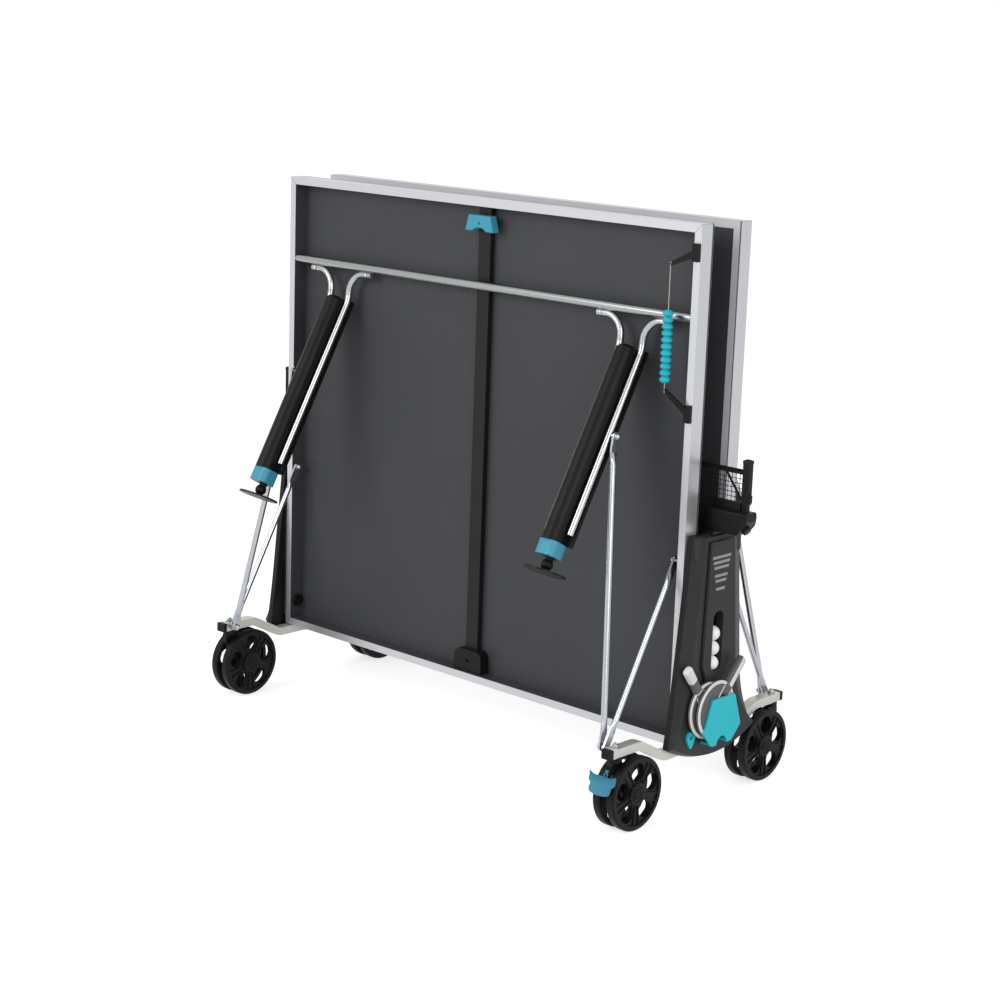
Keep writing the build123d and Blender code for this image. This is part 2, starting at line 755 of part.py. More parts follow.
cover_crease = cover_in + cover_edge
cover_rim = cover_outline(cover_crease, 0, 0)
cover_face = cover_outline(cover_out, cover_slope, cover_foot_slope)
rim_hollow = cover_outline(cover_in, cover_wall, cover_wall)
face_hollow = cover_outline(cover_in, cover_slope + cover_wall, cover_foot_slope + cover_wall)
with BuildPart() as side_cover:
    extrude(cover_outline(cover_in, 0, 0), amount=cover_edge)
    loft([cover_rim, cover_face], ruled=True)
    extrude(rim_hollow, amount=cover_edge - cover_wall, mode=Mode.SUBTRACT)
    extrude(face_hollow, amount=cover_thick - cover_wall, mode=Mode.SUBTRACT)
    with BuildSketch(Plane.YZ.offset(cover_out)):
        with BuildLine():
            Polyline((-spine_top_half, spine_top), (spine_top_half, spine_top), (spine_low_half, spine_low),
                     (spine_end_half, spine_end), (-spine_end_half, spine_end),
                     (-spine_low_half, spine_low), close=True)
        make_face()
    extrude(amount=spine_raise, taper=spine_taper)
    with BuildSketch(Plane.YZ.offset(cover_crease - cover_wall)):
        for hand in (-1, 1):
            with Locations((hand * guide_y, cover_top - cover_round - guide_cap_height / 2)):
                RectangleRounded(guide_cap_width, guide_cap_height, guide_cap_round)
    extrude(amount=guide_cap_raise)
    with BuildSketch(Plane.YZ.offset(cover_in)):
        with Locations((-cover_boss_y, arm_mid_z), (cover_boss_y, arm_mid_z)):
            Circle(cover_boss_radius)
    extrude(amount=cover_thick - cover_wall)
    with BuildSketch(Plane.YZ.offset(cover_in)):
        with Locations((0, slot_middle)):
            Rectangle(ball_slot_width + 2 * ball_trough_wall, ball_slot_length + 2 * ball_trough_wall)
    extrude(amount=cover_thick - cover_wall)
    with BuildSketch(Plane.YZ.offset(cover_in + ball_trough_back)):
        with Locations((0, slot_middle)):
            RectangleRounded(ball_slot_width, ball_slot_length, ball_slot_round)
    extrude(amount=cover_thick + spine_raise, mode=Mode.SUBTRACT)
write(side_cover.part, "side_cover_right")
write(side_cover.part.mirror(Plane.YZ), "side_cover_left")

# Guide channels inside the covers, open towards the table, in which the shoes slide
with BuildPart() as guide_rails:
    with BuildSketch(Plane.XY.offset(guide_low)):
        with Locations((cover_in, guide_y)):
            Rectangle(cover_edge - cover_wall, guide_width, align=(Align.MIN, Align.CENTER))
            Rectangle(cover_edge - cover_wall - guide_wall, guide_width - 2 * guide_wall,
                      align=(Align.MIN, Align.CENTER), mode=Mode.SUBTRACT)
    extrude(amount=cover_top - cover_wall - guide_low)
    mirror(about=Plane.YZ)
    mirror(about=Plane.XZ)
write(guide_rails.part, "guide_rails")

# Net brackets on top of the covers, each with a socket for a post
post_x = post_in + post_width / 2
with BuildPart() as net_brackets:
    with BuildSketch(Plane.XZ):
        with BuildLine():
            Polyline((cover_in, bracket_low), (bracket_out - bracket_slope, bracket_low),
                     (bracket_out, bracket_low + bracket_rise), (bracket_out, bracket_top),
                     (cover_in, bracket_top), close=True)
        make_face()
        fillet(vertices().group_by(Axis.X)[-1], bracket_round)
    extrude(amount=bracket_half, both=True)
    fillet(net_brackets.edges().filter_by(Axis.X).group_by(Axis.Z)[-1], bracket_edge)
    with BuildSketch(Plane.XY.offset(cover_top)):
        with Locations((cover_in, 0)):
            Rectangle(cover_thick, 2 * bracket_seat_half, align=(Align.MIN, Align.CENTER))
    extrude(amount=bracket_low - cover_top)
    with BuildSketch(Plane.XY.offset(bracket_socket_floor)):
        with Locations((post_x, 0)):
            Rectangle(tenon_width + 2 * running_gap, tenon_depth + 2 * running_gap)
    extrude(amount=bracket_top - bracket_socket_floor, mode=Mode.SUBTRACT)
    mirror(about=Plane.YZ)
write(net_brackets.part, "net_brackets")

# Net posts, each with a tenon that slides in its bracket
with BuildPart() as net_posts:
    with BuildSketch(Plane.XY.offset(post_foot)):
        with Locations((post_x, 0)):
            RectangleRounded(post_width, post_depth, tube_round)
    extrude(amount=post_top - post_foot)
    with BuildSketch(Plane.XY.offset(bracket_socket_floor + net_drop + net_cord_gap)):
        with Locations((post_x, 0)):
            Rectangle(tenon_width, tenon_depth)
    extrude(amount=post_foot - bracket_socket_floor - net_drop - net_cord_gap)
    mirror(about=Plane.YZ)
write(net_posts.part, "net_posts")

# Net cloth stretched between the posts, as one holed sheet, stepped up over the brackets
tape_low = play_height + net_rise - tape_height
mesh_low = play_height + net_drop + net_cord_gap
column_pitch = 2 * net_half / net_columns
row_pitch = (tape_low - mesh_low) / net_rows
end_pitch = (post_in - net_half) / net_end_columns
end_row_pitch = (tape_low - post_foot) / net_end_rows
net_corners = [(post_in, tape_low), (post_in, post_foot), (net_half, post_foot), (net_half, mesh_low)]
net_back = net_thick / 2
net_outline = [(x, net_back, z) for x, z in net_corners]
net_outline += [(-x, net_back, z) for x, z in reversed(net_corners)]


def net_gaps(middle_x, middle_z, pitch_x, pitch_z, columns, rows):
    gaps = []
    for spot in GridLocations(pitch_x, pitch_z, columns, rows):
        centre = (middle_x + spot.position.X, net_back, middle_z + spot.position.Y)
        gap_plane = Plane(centre, x_dir=(1, 0, 0), z_dir=(0, -1, 0))
        gap = Face.make_rect(pitch_x - net_bar, pitch_z - net_bar, gap_plane)
        gaps.append(gap.outer_wire())
    return gaps


cord_gaps = net_gaps(0, (mesh_low + tape_low) / 2, column_pitch, row_pitch, net_columns, net_rows)
for hand in (-1, 1):
    cord_gaps += net_gaps(hand * (net_half + post_in) / 2, (post_foot + tape_low) / 2,
                          end_pitch, end_row_pitch, net_end_columns, net_end_rows)
with BuildPart() as net_mesh:
    extrude(Face(Wire.make_polygon(net_outline), cord_gaps), amount=net_thick, dir=(0, -1, 0))
write(net_mesh.part, "net_mesh")

# Tape along the net's top edge
with BuildPart() as net_tape:
    with BuildSketch(Plane.XY.offset(tape_low)):
        Rectangle(2 * post_in, tape_thick)
    extrude(amount=tape_height)
write(net_tape.part, "net_tape")

# Score counter: clips on the side rail with arms that hold a wire, and a row of beads on the wire
wire_top = stored(counter_top_reach, counter_y - stored_inset, counter_x)
wire_low = stored(counter_low_reach, counter_y - stored_inset, counter_x)
with BuildPart() as counter_bracket:
    for reach, tip in ((counter_clip_top_reach, wire_top), (counter_clip_low_reach, wire_low)):
        clip_plane = underside(reach, frame_depth, half_width - rail_width / 2)
        with BuildSketch(clip_plane):
            RectangleRounded(counter_clip_width, counter_clip_height, tube_round)
        extrude(amount=counter_clip_thick)
        root = clip_plane.origin + Vector(0, -counter_clip_thick / 2, 0)
        arm_run = (tip - root).normalized()
        with BuildSketch(Plane(root, x_dir=(0, 1, 0), z_dir=arm_run)):
            Rectangle(counter_arm_thick, counter_arm_root)
        with BuildSketch(Plane(tip, x_dir=(0, 1, 0), z_dir=arm_run)):
            Rectangle(counter_arm_thick, counter_arm_tip)
        loft()
    with BuildSketch(Plane(wire_low)):
        Circle(wire_radius)
    extrude(amount=wire_top.Z - wire_low.Z)
write_both_halves(counter_bracket.part, "counter_bracket")

bead_height = bead_pitch - side_gap
bead_start = wire_low + Vector(0, 0, counter_arm_root)
with BuildPart() as counter_beads:
    with BuildSketch(Plane(bead_start, x_dir=(1, 0, 0), z_dir=(0, -1, 0))):
        for bead in range(bead_count):
            with BuildLine():
                low = bead * bead_pitch
                Polyline((wire_radius + running_gap, low), (bead_waist_radius, low),
                         (bead_radius, low + bead_height / 3), (bead_radius, low + 2 * bead_height / 3),
                         (bead_waist_radius, low + bead_height),
                         (wire_radius + running_gap, low + bead_height), close=True)
            make_face()
    revolve(axis=Axis(bead_start, (0, 0, 1)))
write_both_halves(counter_beads.part, "counter_beads")

# Bat clips: a plate on two feet, behind which the bats stand
with BuildPart() as bat_clips:
    with BuildSketch(Plane.YZ.offset(clip_x)):
        with BuildLine():
            Polyline((-clip_top_half, clip_top), (clip_top_half, clip_top), (clip_mid_half, clip_mid),
                     (clip_low_half, clip_low), (-clip_low_half, clip_low),
                     (-clip_mid_half, clip_mid), close=True)
        make_face()
        fillet(vertices(), clip_round)
        with Locations((0, clip_low)):
            Circle(clip_notch_radius, mode=Mode.SUBTRACT)
    extrude(amount=clip_thick)
    with BuildSketch(Plane.YZ.offset(cover_out)):
        for hand in (-1, 1):
            with Locations((hand * clip_foot_y, clip_low)):
                Rectangle(clip_foot_width, clip_foot_height, align=(Align.CENTER, Align.MIN))
    extrude(amount=clip_x - cover_out)
    add(bat_clips.part.rotate(Axis.Z, 180))
write(bat_clips.part, "bat_clips")

# Hanging hooks beside the bat clips
with BuildPart() as hang_hooks:
    with BuildSketch(Plane.YZ.offset(cover_out)):
        with Locations((-hook_y, hook_z + hook_height / 2 - hook_width / 2)):
            Circle(hook_width / 2)
        with Locations((-hook_y, hook_z - hook_height / 2 + hook_hole_radius)):
            Circle(hook_hole_radius)
        make_hull()
        with Locations((-hook_y, hook_z + hook_height / 2 - hook_width / 2)):
            Circle(hook_hole_radius, mode=Mode.SUBTRACT)
    extrude(amount=hook_thick)
    add(hang_hooks.part.rotate(Axis.Z, 180))
write(hang_hooks.part, "hang_hooks")

# Two bats behind the right-hand clip: a blade with a thicker handle
for name, bat_x, blade_y, blade_z, lean in bats:
    grip_plane = Plane((bat_x, blade_y, blade_z), x_dir=(0, 1, 0), z_dir=(1, 0, 0))
    with BuildPart() as bat:
        with BuildSketch(grip_plane):
            Ellipse(bat_blade_half_width, bat_blade_half_height, rotation=-lean)
        extrude(amount=bat_blade_thick / 2, both=True)
        with BuildSketch(grip_plane):
            with PolarLocations(bat_handle_root, 1, start_angle=90 - lean):
                Rectangle(bat_handle_length, bat_handle_width, align=(Align.MIN, Align.CENTER))
        extrude(amount=bat_handle_thick / 2, both=True)
    write(bat.part, name)

# Balls in the right-hand trough
ball_x = cover_in + ball_trough_back + ball_radius + side_gap / 4
with BuildPart() as balls:
    for ball in range(ball_count):
        with Locations((ball_x, 0, ball_floor + ball_radius + ball * ball_spacing)):
            Sphere(ball_radius)
write(balls.part, "balls")
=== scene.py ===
import math

import bmesh
import bpy
from mathutils import Matrix, Vector


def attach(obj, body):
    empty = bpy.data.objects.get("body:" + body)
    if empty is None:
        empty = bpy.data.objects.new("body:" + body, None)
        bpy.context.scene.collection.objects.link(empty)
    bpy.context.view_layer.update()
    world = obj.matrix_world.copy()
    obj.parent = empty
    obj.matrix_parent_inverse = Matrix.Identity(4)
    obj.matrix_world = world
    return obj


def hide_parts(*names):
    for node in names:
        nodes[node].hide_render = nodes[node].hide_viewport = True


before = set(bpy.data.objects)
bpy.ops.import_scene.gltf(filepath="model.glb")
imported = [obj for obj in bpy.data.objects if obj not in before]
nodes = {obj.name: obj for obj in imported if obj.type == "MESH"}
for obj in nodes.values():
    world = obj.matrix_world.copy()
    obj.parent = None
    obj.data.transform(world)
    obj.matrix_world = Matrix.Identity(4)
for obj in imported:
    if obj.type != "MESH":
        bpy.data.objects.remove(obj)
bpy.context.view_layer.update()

# Outrigger arms and crossbar
# Rectangular steel tube, cranked down under the end covers and powder coated in a warm silver.
# The crossbar is welded between the arms, and moulded caps close the four tips.


def paint(red, green, blue):
    """A swatch colour in linear light."""
    shares = (red / 255, green / 255, blue / 255)
    linear = [s / 12.92 if s <= 0.04045 else ((s + 0.055) / 1.055) ** 2.4 for s in shares]
    return (*linear, 1.0)


def new_effect(name, inputs, outputs):
    """An empty shader effect with its named sockets."""
    tree = bpy.data.node_groups.new(name, "ShaderNodeTree")
    for label, kind, value in inputs:
        socket = tree.interface.new_socket(label, in_out="INPUT", socket_type="NodeSocket" + kind)
        socket.default_value = value
    for label, kind in outputs:
        tree.interface.new_socket(label, in_out="OUTPUT", socket_type="NodeSocket" + kind)
    return tree, tree.nodes.new("NodeGroupInput"), tree.nodes.new("NodeGroupOutput")


def sum_node(tree, operation, first, second, third=None):
    """A math node fed by sockets or plain numbers; gives its output socket."""
    node = tree.nodes.new("ShaderNodeMath")
    node.operation = operation
    for socket, value in zip(node.inputs, (first, second, third)):
        if isinstance(value, (int, float)):
            socket.default_value = value
        elif value is not None:
            tree.links.new(value, socket)
    return node.outputs[0]


def blend_node(tree, share, first, second):
    """A colour between two colours; gives its output socket."""
    node = tree.nodes.new("ShaderNodeMix")
    node.data_type = "RGBA"
    for socket, value in zip((node.inputs[0], node.inputs[6], node.inputs[7]), (share, first, second)):
        if isinstance(value, bpy.types.NodeSocket):
            tree.links.new(value, socket)
        else:
            socket.default_value = value
    return node.outputs[2]


# Uneven coat: cloudy blotches in the colour, fine grain in the gloss and the relief.
cloud_detail, cloud_contrast, cloud_start = 4.0, 1.6, -0.3
grain_detail = 3.0
mottle, given, made = new_effect(
    "coat_mottle",
    (("Colour", "Color", paint(128, 128, 128)), ("Shade", "Color", paint(110, 110, 110)),
     ("Blotch Scale", "Float", 9.0), ("Grain Scale", "Float", 700.0),
     ("Roughness", "Float", 0.4), ("Roughness Spread", "Float", 0.12)),
    (("Colour", "Color"), ("Roughness", "Float"), ("Height", "Float")))
place = mottle.nodes.new("ShaderNodeTexCoord")
cloud = mottle.nodes.new("ShaderNodeTexNoise")
cloud.inputs["Detail"].default_value = cloud_detail
grain = mottle.nodes.new("ShaderNodeTexNoise")
grain.inputs["Detail"].default_value = grain_detail
for noise, scale in ((cloud, "Blotch Scale"), (grain, "Grain Scale")):
    mottle.links.new(place.outputs["Object"], noise.inputs["Vector"])
    mottle.links.new(given.outputs[scale], noise.inputs["Scale"])
cloudy = sum_node(mottle, "MULTIPLY_ADD", cloud.outputs["Fac"], cloud_contrast, cloud_start)
mottle.links.new(blend_node(mottle, cloudy, given.outputs["Colour"], given.outputs["Shade"]),
                 made.inputs["Colour"])
uneven = sum_node(mottle, "ADD", grain.outputs["Fac"], cloud.outputs["Fac"])
spread = sum_node(mottle, "MULTIPLY", sum_node(mottle, "SUBTRACT", uneven, 1.0),
                  given.outputs["Roughness Spread"])
mottle.links.new(sum_node(mottle, "ADD", given.outputs["Roughness"], spread),
                 made.inputs["Roughness"])
mottle.links.new(grain.outputs["Fac"], made.inputs["Height"])

# Paler edges: the coat turns paler, in patches, where a corner stands out; partly wear, partly a
# painted edge highlight.
patch_scale, corner_gain = 60.0, 6.0
wear_and_sheen_effect, given, made = new_effect(
    "edge_wear_and_sheen",
    (("Colour", "Color", paint(60, 60, 60)), ("Worn Colour", "Color", paint(150, 150, 150)),
     ("Width", "Float", 0.0015), ("Amount", "Float", 0.5)),
    (("Colour", "Color"),))
rounded = wear_and_sheen_effect.nodes.new("ShaderNodeBevel")
rounded.samples = 4
wear_and_sheen_effect.links.new(given.outputs["Width"], rounded.inputs["Radius"])
surface = wear_and_sheen_effect.nodes.new("ShaderNodeNewGeometry")
facing = wear_and_sheen_effect.nodes.new("ShaderNodeVectorMath")
facing.operation = "DOT_PRODUCT"
wear_and_sheen_effect.links.new(rounded.outputs["Normal"], facing.inputs[0])
wear_and_sheen_effect.links.new(surface.outputs["Normal"], facing.inputs[1])
place = wear_and_sheen_effect.nodes.new("ShaderNodeTexCoord")
patches = wear_and_sheen_effect.nodes.new("ShaderNodeTexNoise")
patches.inputs["Scale"].default_value = patch_scale
wear_and_sheen_effect.links.new(place.outputs["Object"], patches.inputs["Vector"])
turned_away = sum_node(wear_and_sheen_effect, "SUBTRACT", 1.0, facing.outputs["Value"])
corner = sum_node(wear_and_sheen_effect, "MULTIPLY", turned_away, corner_gain)
wear_and_sheen_share = sum_node(wear_and_sheen_effect, "MULTIPLY", corner, patches.outputs["Fac"])
wear_and_sheen_share = sum_node(wear_and_sheen_effect, "MULTIPLY", wear_and_sheen_share, given.outputs["Amount"])
wear_and_sheen_share = sum_node(wear_and_sheen_effect, "MINIMUM", wear_and_sheen_share, 1.0)
wear_and_sheen_effect.links.new(blend_node(wear_and_sheen_effect, wear_and_sheen_share, given.outputs["Colour"], given.outputs["Worn Colour"]),
                 made.inputs["Colour"])


def placed_effect(tree, effect, **values):
    """An effect in a material, with its own values."""
    node = tree.nodes.new("ShaderNodeGroup")
    node.node_tree = effect
    for label, value in values.items():
        node.inputs[label.replace("_", " ")].default_value = value
    return node


def relief(tree, height, strength, depth):
    """Fine relief over a finish."""
    bumps = tree.nodes.new("ShaderNodeBump")
    bumps.inputs["Strength"].default_value = strength
    bumps.inputs["Distance"].default_value = depth
    tree.links.new(height, bumps.inputs["Height"])
    tree.links.new(bumps.outputs["Normal"], tree.nodes["Principled BSDF"].inputs["Normal"])


def finish(name, colour, shade, wear_and_sheen_colour, roughness, blotch=9.0, grain_scale=700.0, bump=0.15,
           bump_depth=0.0004, gloss_spread=0.12, metal=0.0, wear_and_sheen=0.4, wear_and_sheen_width=0.0015, shine=0.5):
    """A coated or moulded finish: mottled coat, paler edges of wear and painted highlight, fine
    relief.
    """
    material = bpy.data.materials.new(name)
    material.use_nodes = True
    tree = material.node_tree
    shader = tree.nodes["Principled BSDF"]
    coated = placed_effect(tree, mottle, Colour=colour, Shade=shade, Blotch_Scale=blotch,
                           Grain_Scale=grain_scale, Roughness=roughness,
                           Roughness_Spread=gloss_spread)
    edges = placed_effect(tree, wear_and_sheen_effect, Worn_Colour=wear_and_sheen_colour, Width=wear_and_sheen_width, Amount=wear_and_sheen)
    tree.links.new(coated.outputs["Colour"], edges.inputs["Colour"])
    tree.links.new(edges.outputs["Colour"], shader.inputs["Base Color"])
    tree.links.new(coated.outputs["Roughness"], shader.inputs["Roughness"])
    relief(tree, coated.outputs["Height"], bump, bump_depth)
    shader.inputs["Metallic"].default_value = metal
    shader.inputs["Specular IOR Level"].default_value = shine
    return material


def dress(material, *names):
    """Give CAD nodes their finish."""
    for name in names:
        for slot in nodes[name].material_slots:
            slot.material = material


arm_coat = finish("arm_coat", paint(204, 205, 198), paint(193, 195, 187), paint(232, 233, 229),
                  0.3, bump=0.08, metal=0.4, wear_and_sheen=0.25)
dress(arm_coat, "outrigger_arms", "crossbar")
black_plastic = finish("black_plastic", paint(20, 20, 21), paint(15, 15, 16), paint(70, 70, 72),
                       0.42, grain_scale=1100.0, bump=0.2, wear_and_sheen=0.25, shine=0.14)
dress(black_plastic, "arm_end_caps")


def stand(x, y, z, toward="Z"):
    """A place whose own Z axis points along the given axis of the table."""
    quarter = math.pi / 2
    turns = {"Z": Matrix.Identity(4),
             "X": Matrix.Rotation(quarter, 4, "Y"), "-X": Matrix.Rotation(-quarter, 4, "Y"),
             "Y": Matrix.Rotation(-quarter, 4, "X"), "-Y": Matrix.Rotation(quarter, 4, "X")}
    return Matrix.Translation((x, y, z)) @ turns[toward]


def turned(form, profile, where, sides=28):
    """Add a turned body: profile of (radius, height) from foot to crown, or a closed loop."""
    rings = []
    loop = profile[0] == profile[-1]
    for radius, height in profile[:-1] if loop else profile:
        count = sides if radius > 1e-7 else 1
        ring = []
        for k in range(count):
            angle = 2 * math.pi * k / sides
            spot = Vector((radius * math.cos(angle), radius * math.sin(angle), height))
            ring.append(form.verts.new(where @ spot))
        rings.append(ring)
    for low, high in zip(rings, rings[1:] + rings[:1] if loop else rings[1:]):
        for k in range(sides if len(low) + len(high) > 2 else 0):
            n = (k + 1) % sides
            if len(low) == 1:
                form.faces.new((low[0], high[n], high[k]))
            elif len(high) == 1:
                form.faces.new((low[k], low[n], high[0]))
            else:
                form.faces.new((low[k], low[n], high[n], high[k]))


def as_piece(form, name, finishes, body, sharp=35):
    """Turn a form into a finished piece that moves with a body."""
    bmesh.ops.recalc_face_normals(form, faces=form.faces[:])
    mesh = bpy.data.meshes.new(name)
    form.to_mesh(mesh)
    form.free()
    for material in finishes if isinstance(finishes, tuple) else (finishes,):
        mesh.materials.append(material)
    for face in mesh.polygons:
        face.use_smooth = True
    mesh.set_sharp_from_angle(angle=math.radians(sharp))
    piece = bpy.data.objects.new(name, mesh)
    bpy.context.scene.collection.objects.link(piece)
    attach(piece, body)
    return piece


zinc = finish("zinc_plate", paint(186, 188, 190), paint(164, 167, 170), paint(225, 226, 228), 0.28,
              blotch=40.0, grain_scale=1500.0, bump=0.05, metal=0.9, wear_and_sheen=0.2)
washer_top, nut_top = 0.0017, 0.0085
washer = ((0.0, 0.0), (0.0103, 0.0), (0.0106, 0.0003), (0.0106, 0.0014), (0.0102, washer_top),
          (0.0, washer_top))
hex_nut = ((0.0, 0.0), (0.0085, 0.0), (0.0095, 0.0008), (0.0095, 0.0056), (0.0082, 0.0068),
           (0.0, 0.0068))
stud = ((0.0, 0.0), (0.0048, 0.0), (0.0048, 0.0032), (0.0036, 0.0044), (0.0, 0.0046))
caster_x, swivel_y, arm_top = 0.753, 0.338, 0.232
swivel_nuts = bmesh.new()
for x in (-caster_x, caster_x):
    for y in (-swivel_y, swivel_y):
        turned(swivel_nuts, washer, stand(x, y, arm_top))
        turned(swivel_nuts, hex_nut, stand(x, y, arm_top + washer_top), sides=6)
        turned(swivel_nuts, stud, stand(x, y, arm_top + nut_top))
as_piece(swivel_nuts, "swivel_nuts", zinc, "undercarriage")

# Casters
# Each moulded fork swivels under an arm's tip and carries a pair of black five-spoke wheels.
# Ribs stiffen the spokes, and ringed hub caps are pressed onto the wheels.
wheel_plastic = finish("wheel_plastic", paint(17, 17, 18), paint(12, 12, 13), paint(56, 56, 56),
                       0.44, grain_scale=900.0, bump=0.16, wear_and_sheen=0.2, shine=0.14)
ends = ("front", "rear")
hands = ("left", "right")
hub_cap = ((0.0, -0.0004), (0.0299, -0.0004), (0.0294, 0.0006), (0.0236, 0.0012), (0.0226, 0.0026),
           (0.0206, 0.0026), (0.0196, 0.0010), (0.0150, 0.0010), (0.0140, 0.0030), (0.0112, 0.0034),
           (0.0100, 0.0016), (0.0062, 0.0016), (0.0054, 0.0028), (0.0, 0.0030))
axle_y, axle_z = 0.279, 0.1
wheel_out = 0.035
spokes, first_spoke, spoke_face = 5, 54, -0.004
rib_from, rib_to = 0.0292, 0.0868
rib_foot, rib_lean = 0.005, 0.0115
rib_wide, rib_high = 0.0042, 0.0032


def bar(form, start, end, across, up, width, height):
    """A straight rib with a narrowed crest, on the surface that start and end lie on."""
    low, high = [], []
    for point in (start, end):
        for row, half, rise in ((low, width / 2, 0.0), (high, width / 3, height)):
            sides = (point - half * across + rise * up, point + half * across + rise * up)
            row.append([form.verts.new(corner) for corner in sides])
    (a, b), (d, c) = low
    (e, f), (h, g) = high
    for loop in ((a, b, c, d), (e, h, g, f), (a, d, h, e), (b, f, g, c), (a, e, f, b), (d, c, g, h)):
        form.faces.new(loop)


for end in ends:
    for hand in hands:
        dress(black_plastic, f"{end}_{hand}_fork")
        dress(wheel_plastic, f"{end}_{hand}_wheels")
        hubs = bmesh.new()
        x = caster_x if hand == "right" else -caster_x
        y = -axle_y if end == "front" else axle_y
        for out, toward in ((1, "X"), (-1, "-X")):
            turned(hubs, hub_cap, stand(x + out * wheel_out, y, axle_z, toward), sides=40)
            hub = Vector((x + out * (wheel_out + spoke_face), y, axle_z))
            for spoke in range(spokes):
                angle = math.radians(first_spoke + 360 / spokes * spoke)
                along = Vector((0, math.cos(angle), math.sin(angle)))
                across = Vector((0, -math.sin(angle), math.cos(angle)))
                for side in (-1, 1):
                    bar(hubs, hub + rib_from * along + side * rib_foot * across,
                        hub + rib_to * along + side * rib_lean * across,
                        across, Vector((out, 0, 0)), rib_wide, rib_high)
        as_piece(hubs, f"{end}_{hand}_hub_caps", wheel_plastic, f"{end}_{hand}_wheel_pair")

# Brake pedals
# A teal moulded tread, lipped along its top edge and ribbed at the back, on a lug between the
# fork's ears. Pressing it down turns it on its pin until it locks the pair of wheels.
teal_plastic = finish("teal_plastic", paint(66, 150, 174), paint(59, 138, 163),
                      paint(120, 186, 204), 0.4, grain_scale=900.0, bump=0.14, wear_and_sheen=0.25, shine=0.25)
# Painted shade: the pedals take a darker copy of the teal, for their shade under the arms.
pedal_teal_shaded = finish("pedal_teal_shaded", paint(56, 130, 155), paint(50, 121, 146), paint(110, 172, 190),
                    0.42, grain_scale=900.0, bump=0.14, wear_and_sheen=0.25, shine=0.2)
outward = Vector((1, 0, 0))
tread_middle = Vector((caster_x, -0.392, 0.142))
tread_up = Vector((0.0, 0.4067, 0.9135))
tread_out = Vector((0.0, -0.9135, 0.4067))
tread_half, tread_long, tread_thick = 0.042, 0.05, 0.0055
waist_from, waist_run, waist_cut = 0.3, 0.2, 0.009
toe_from, toe_run, toe_cut = 0.8, 0.2, 0.006
lip_high, lip_run = 0.006, 0.25
ear_high, ear_from, ear_wide, ear_run = 0.005, 0.7, 0.3, 0.3
belly_deep = 0.0025
droop, droop_from, droop_run = 0.004, 0.6, 0.4
lug_pin = Vector((caster_x, -0.362, 0.170))
lug_half, lug_foot, lug_inset, lug_thick, lug_deep = 0.0046, 0.016, (-0.004, 0.002), 0.0034, 0.009
lug_eye = ((0.0029, -0.0048), (0.0068, -0.0048), (0.0068, 0.0048), (0.0029, 0.0048),
           (0.0029, -0.0048))
back_rib, back_rib_from, back_rib_to, back_rib_size = 0.024, 0.3, 0.9, 0.003
tread_columns, tread_rows = 24, 10


def slab(form, rows, back, tint=0):
    """A closed plate over a grid of points, with its back face a step behind."""
    made_faces = []
    front = [[form.verts.new(point) for point in row] for row in rows]
    rear = [[form.verts.new(point + back) for point in row] for row in rows]
    deep, wide = len(rows) - 1, len(rows[0]) - 1
    for r in range(deep):
        for c in range(wide):
            near = (front[r][c], front[r][c + 1], front[r + 1][c + 1], front[r + 1][c])
            far = (rear[r][c], rear[r + 1][c], rear[r + 1][c + 1], rear[r][c + 1])
            made_faces += [form.faces.new(near), form.faces.new(far)]
    rim = [(0, c) for c in range(wide)] + [(r, wide) for r in range(deep)]
    rim += [(deep, c) for c in range(wide, 0, -1)] + [(r, 0) for r in range(deep, 0, -1)]
    for (r, c), (q, d) in zip(rim, rim[1:] + rim[:1]):
        made_faces.append(form.faces.new((front[r][c], rear[r][c], rear[q][d], front[q][d])))
    for face in made_faces:
        face.material_index = tint


def tread_point(across, down):
    """A point of the tread: across from -1 to 1, down from 0 at its lip to 1 at its toe."""
    half = tread_half
    if down >= waist_from:
        half -= waist_cut * min(1.0, (down - waist_from) / waist_run)
    if down > toe_from:
        half -= toe_cut * ((down - toe_from) / toe_run) ** 2
    lip = lip_high * max(0.0, 1 - down / lip_run) ** 2
    ear = ear_high * max(0.0, abs(across) - ear_from) / ear_wide * max(0.0, 1 - down / ear_run)
    belly = belly_deep * math.cos(across * math.pi / 2) * math.sin(down * math.pi)
    toe = -droop * across * across * max(0.0, down - droop_from) / droop_run
    rise = tread_long / 2 - tread_long * down + ear - toe
    return tread_middle + half * across * outward + rise * tread_up + (lip - belly) * tread_out


for end in ends:
    pedal = bmesh.new()
    to_back = -tread_thick * tread_out
    slab(pedal, [[tread_point(2 * c / tread_columns - 1, r / tread_rows)
                  for c in range(tread_columns + 1)] for r in range(tread_rows + 1)], to_back)
    for side in (-lug_half, lug_half):
        foot = tread_middle + side * outward + to_back
        bar(pedal, foot + lug_foot * tread_up, lug_pin + Vector((side, *lug_inset)), outward,
            -tread_up, lug_thick, lug_deep)
    turned(pedal, lug_eye, stand(*lug_pin, "X"), sides=24)
    for rib in (-back_rib / tread_half, back_rib / tread_half):
        bar(pedal, tread_point(rib, back_rib_from) + to_back, tread_point(rib, back_rib_to) + to_back,
            outward, -tread_out, back_rib_size, back_rib_size)
    if end == "rear":
        bmesh.ops.rotate(pedal, verts=pedal.verts[:], cent=(0, 0, 0),
                         matrix=Matrix.Rotation(math.pi, 3, "Z"))
    tread = as_piece(pedal, f"{end}_pedal_tread", pedal_teal_shaded, f"{end}_pedal", sharp=50)
    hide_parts(f"{end}_brake_pedal")

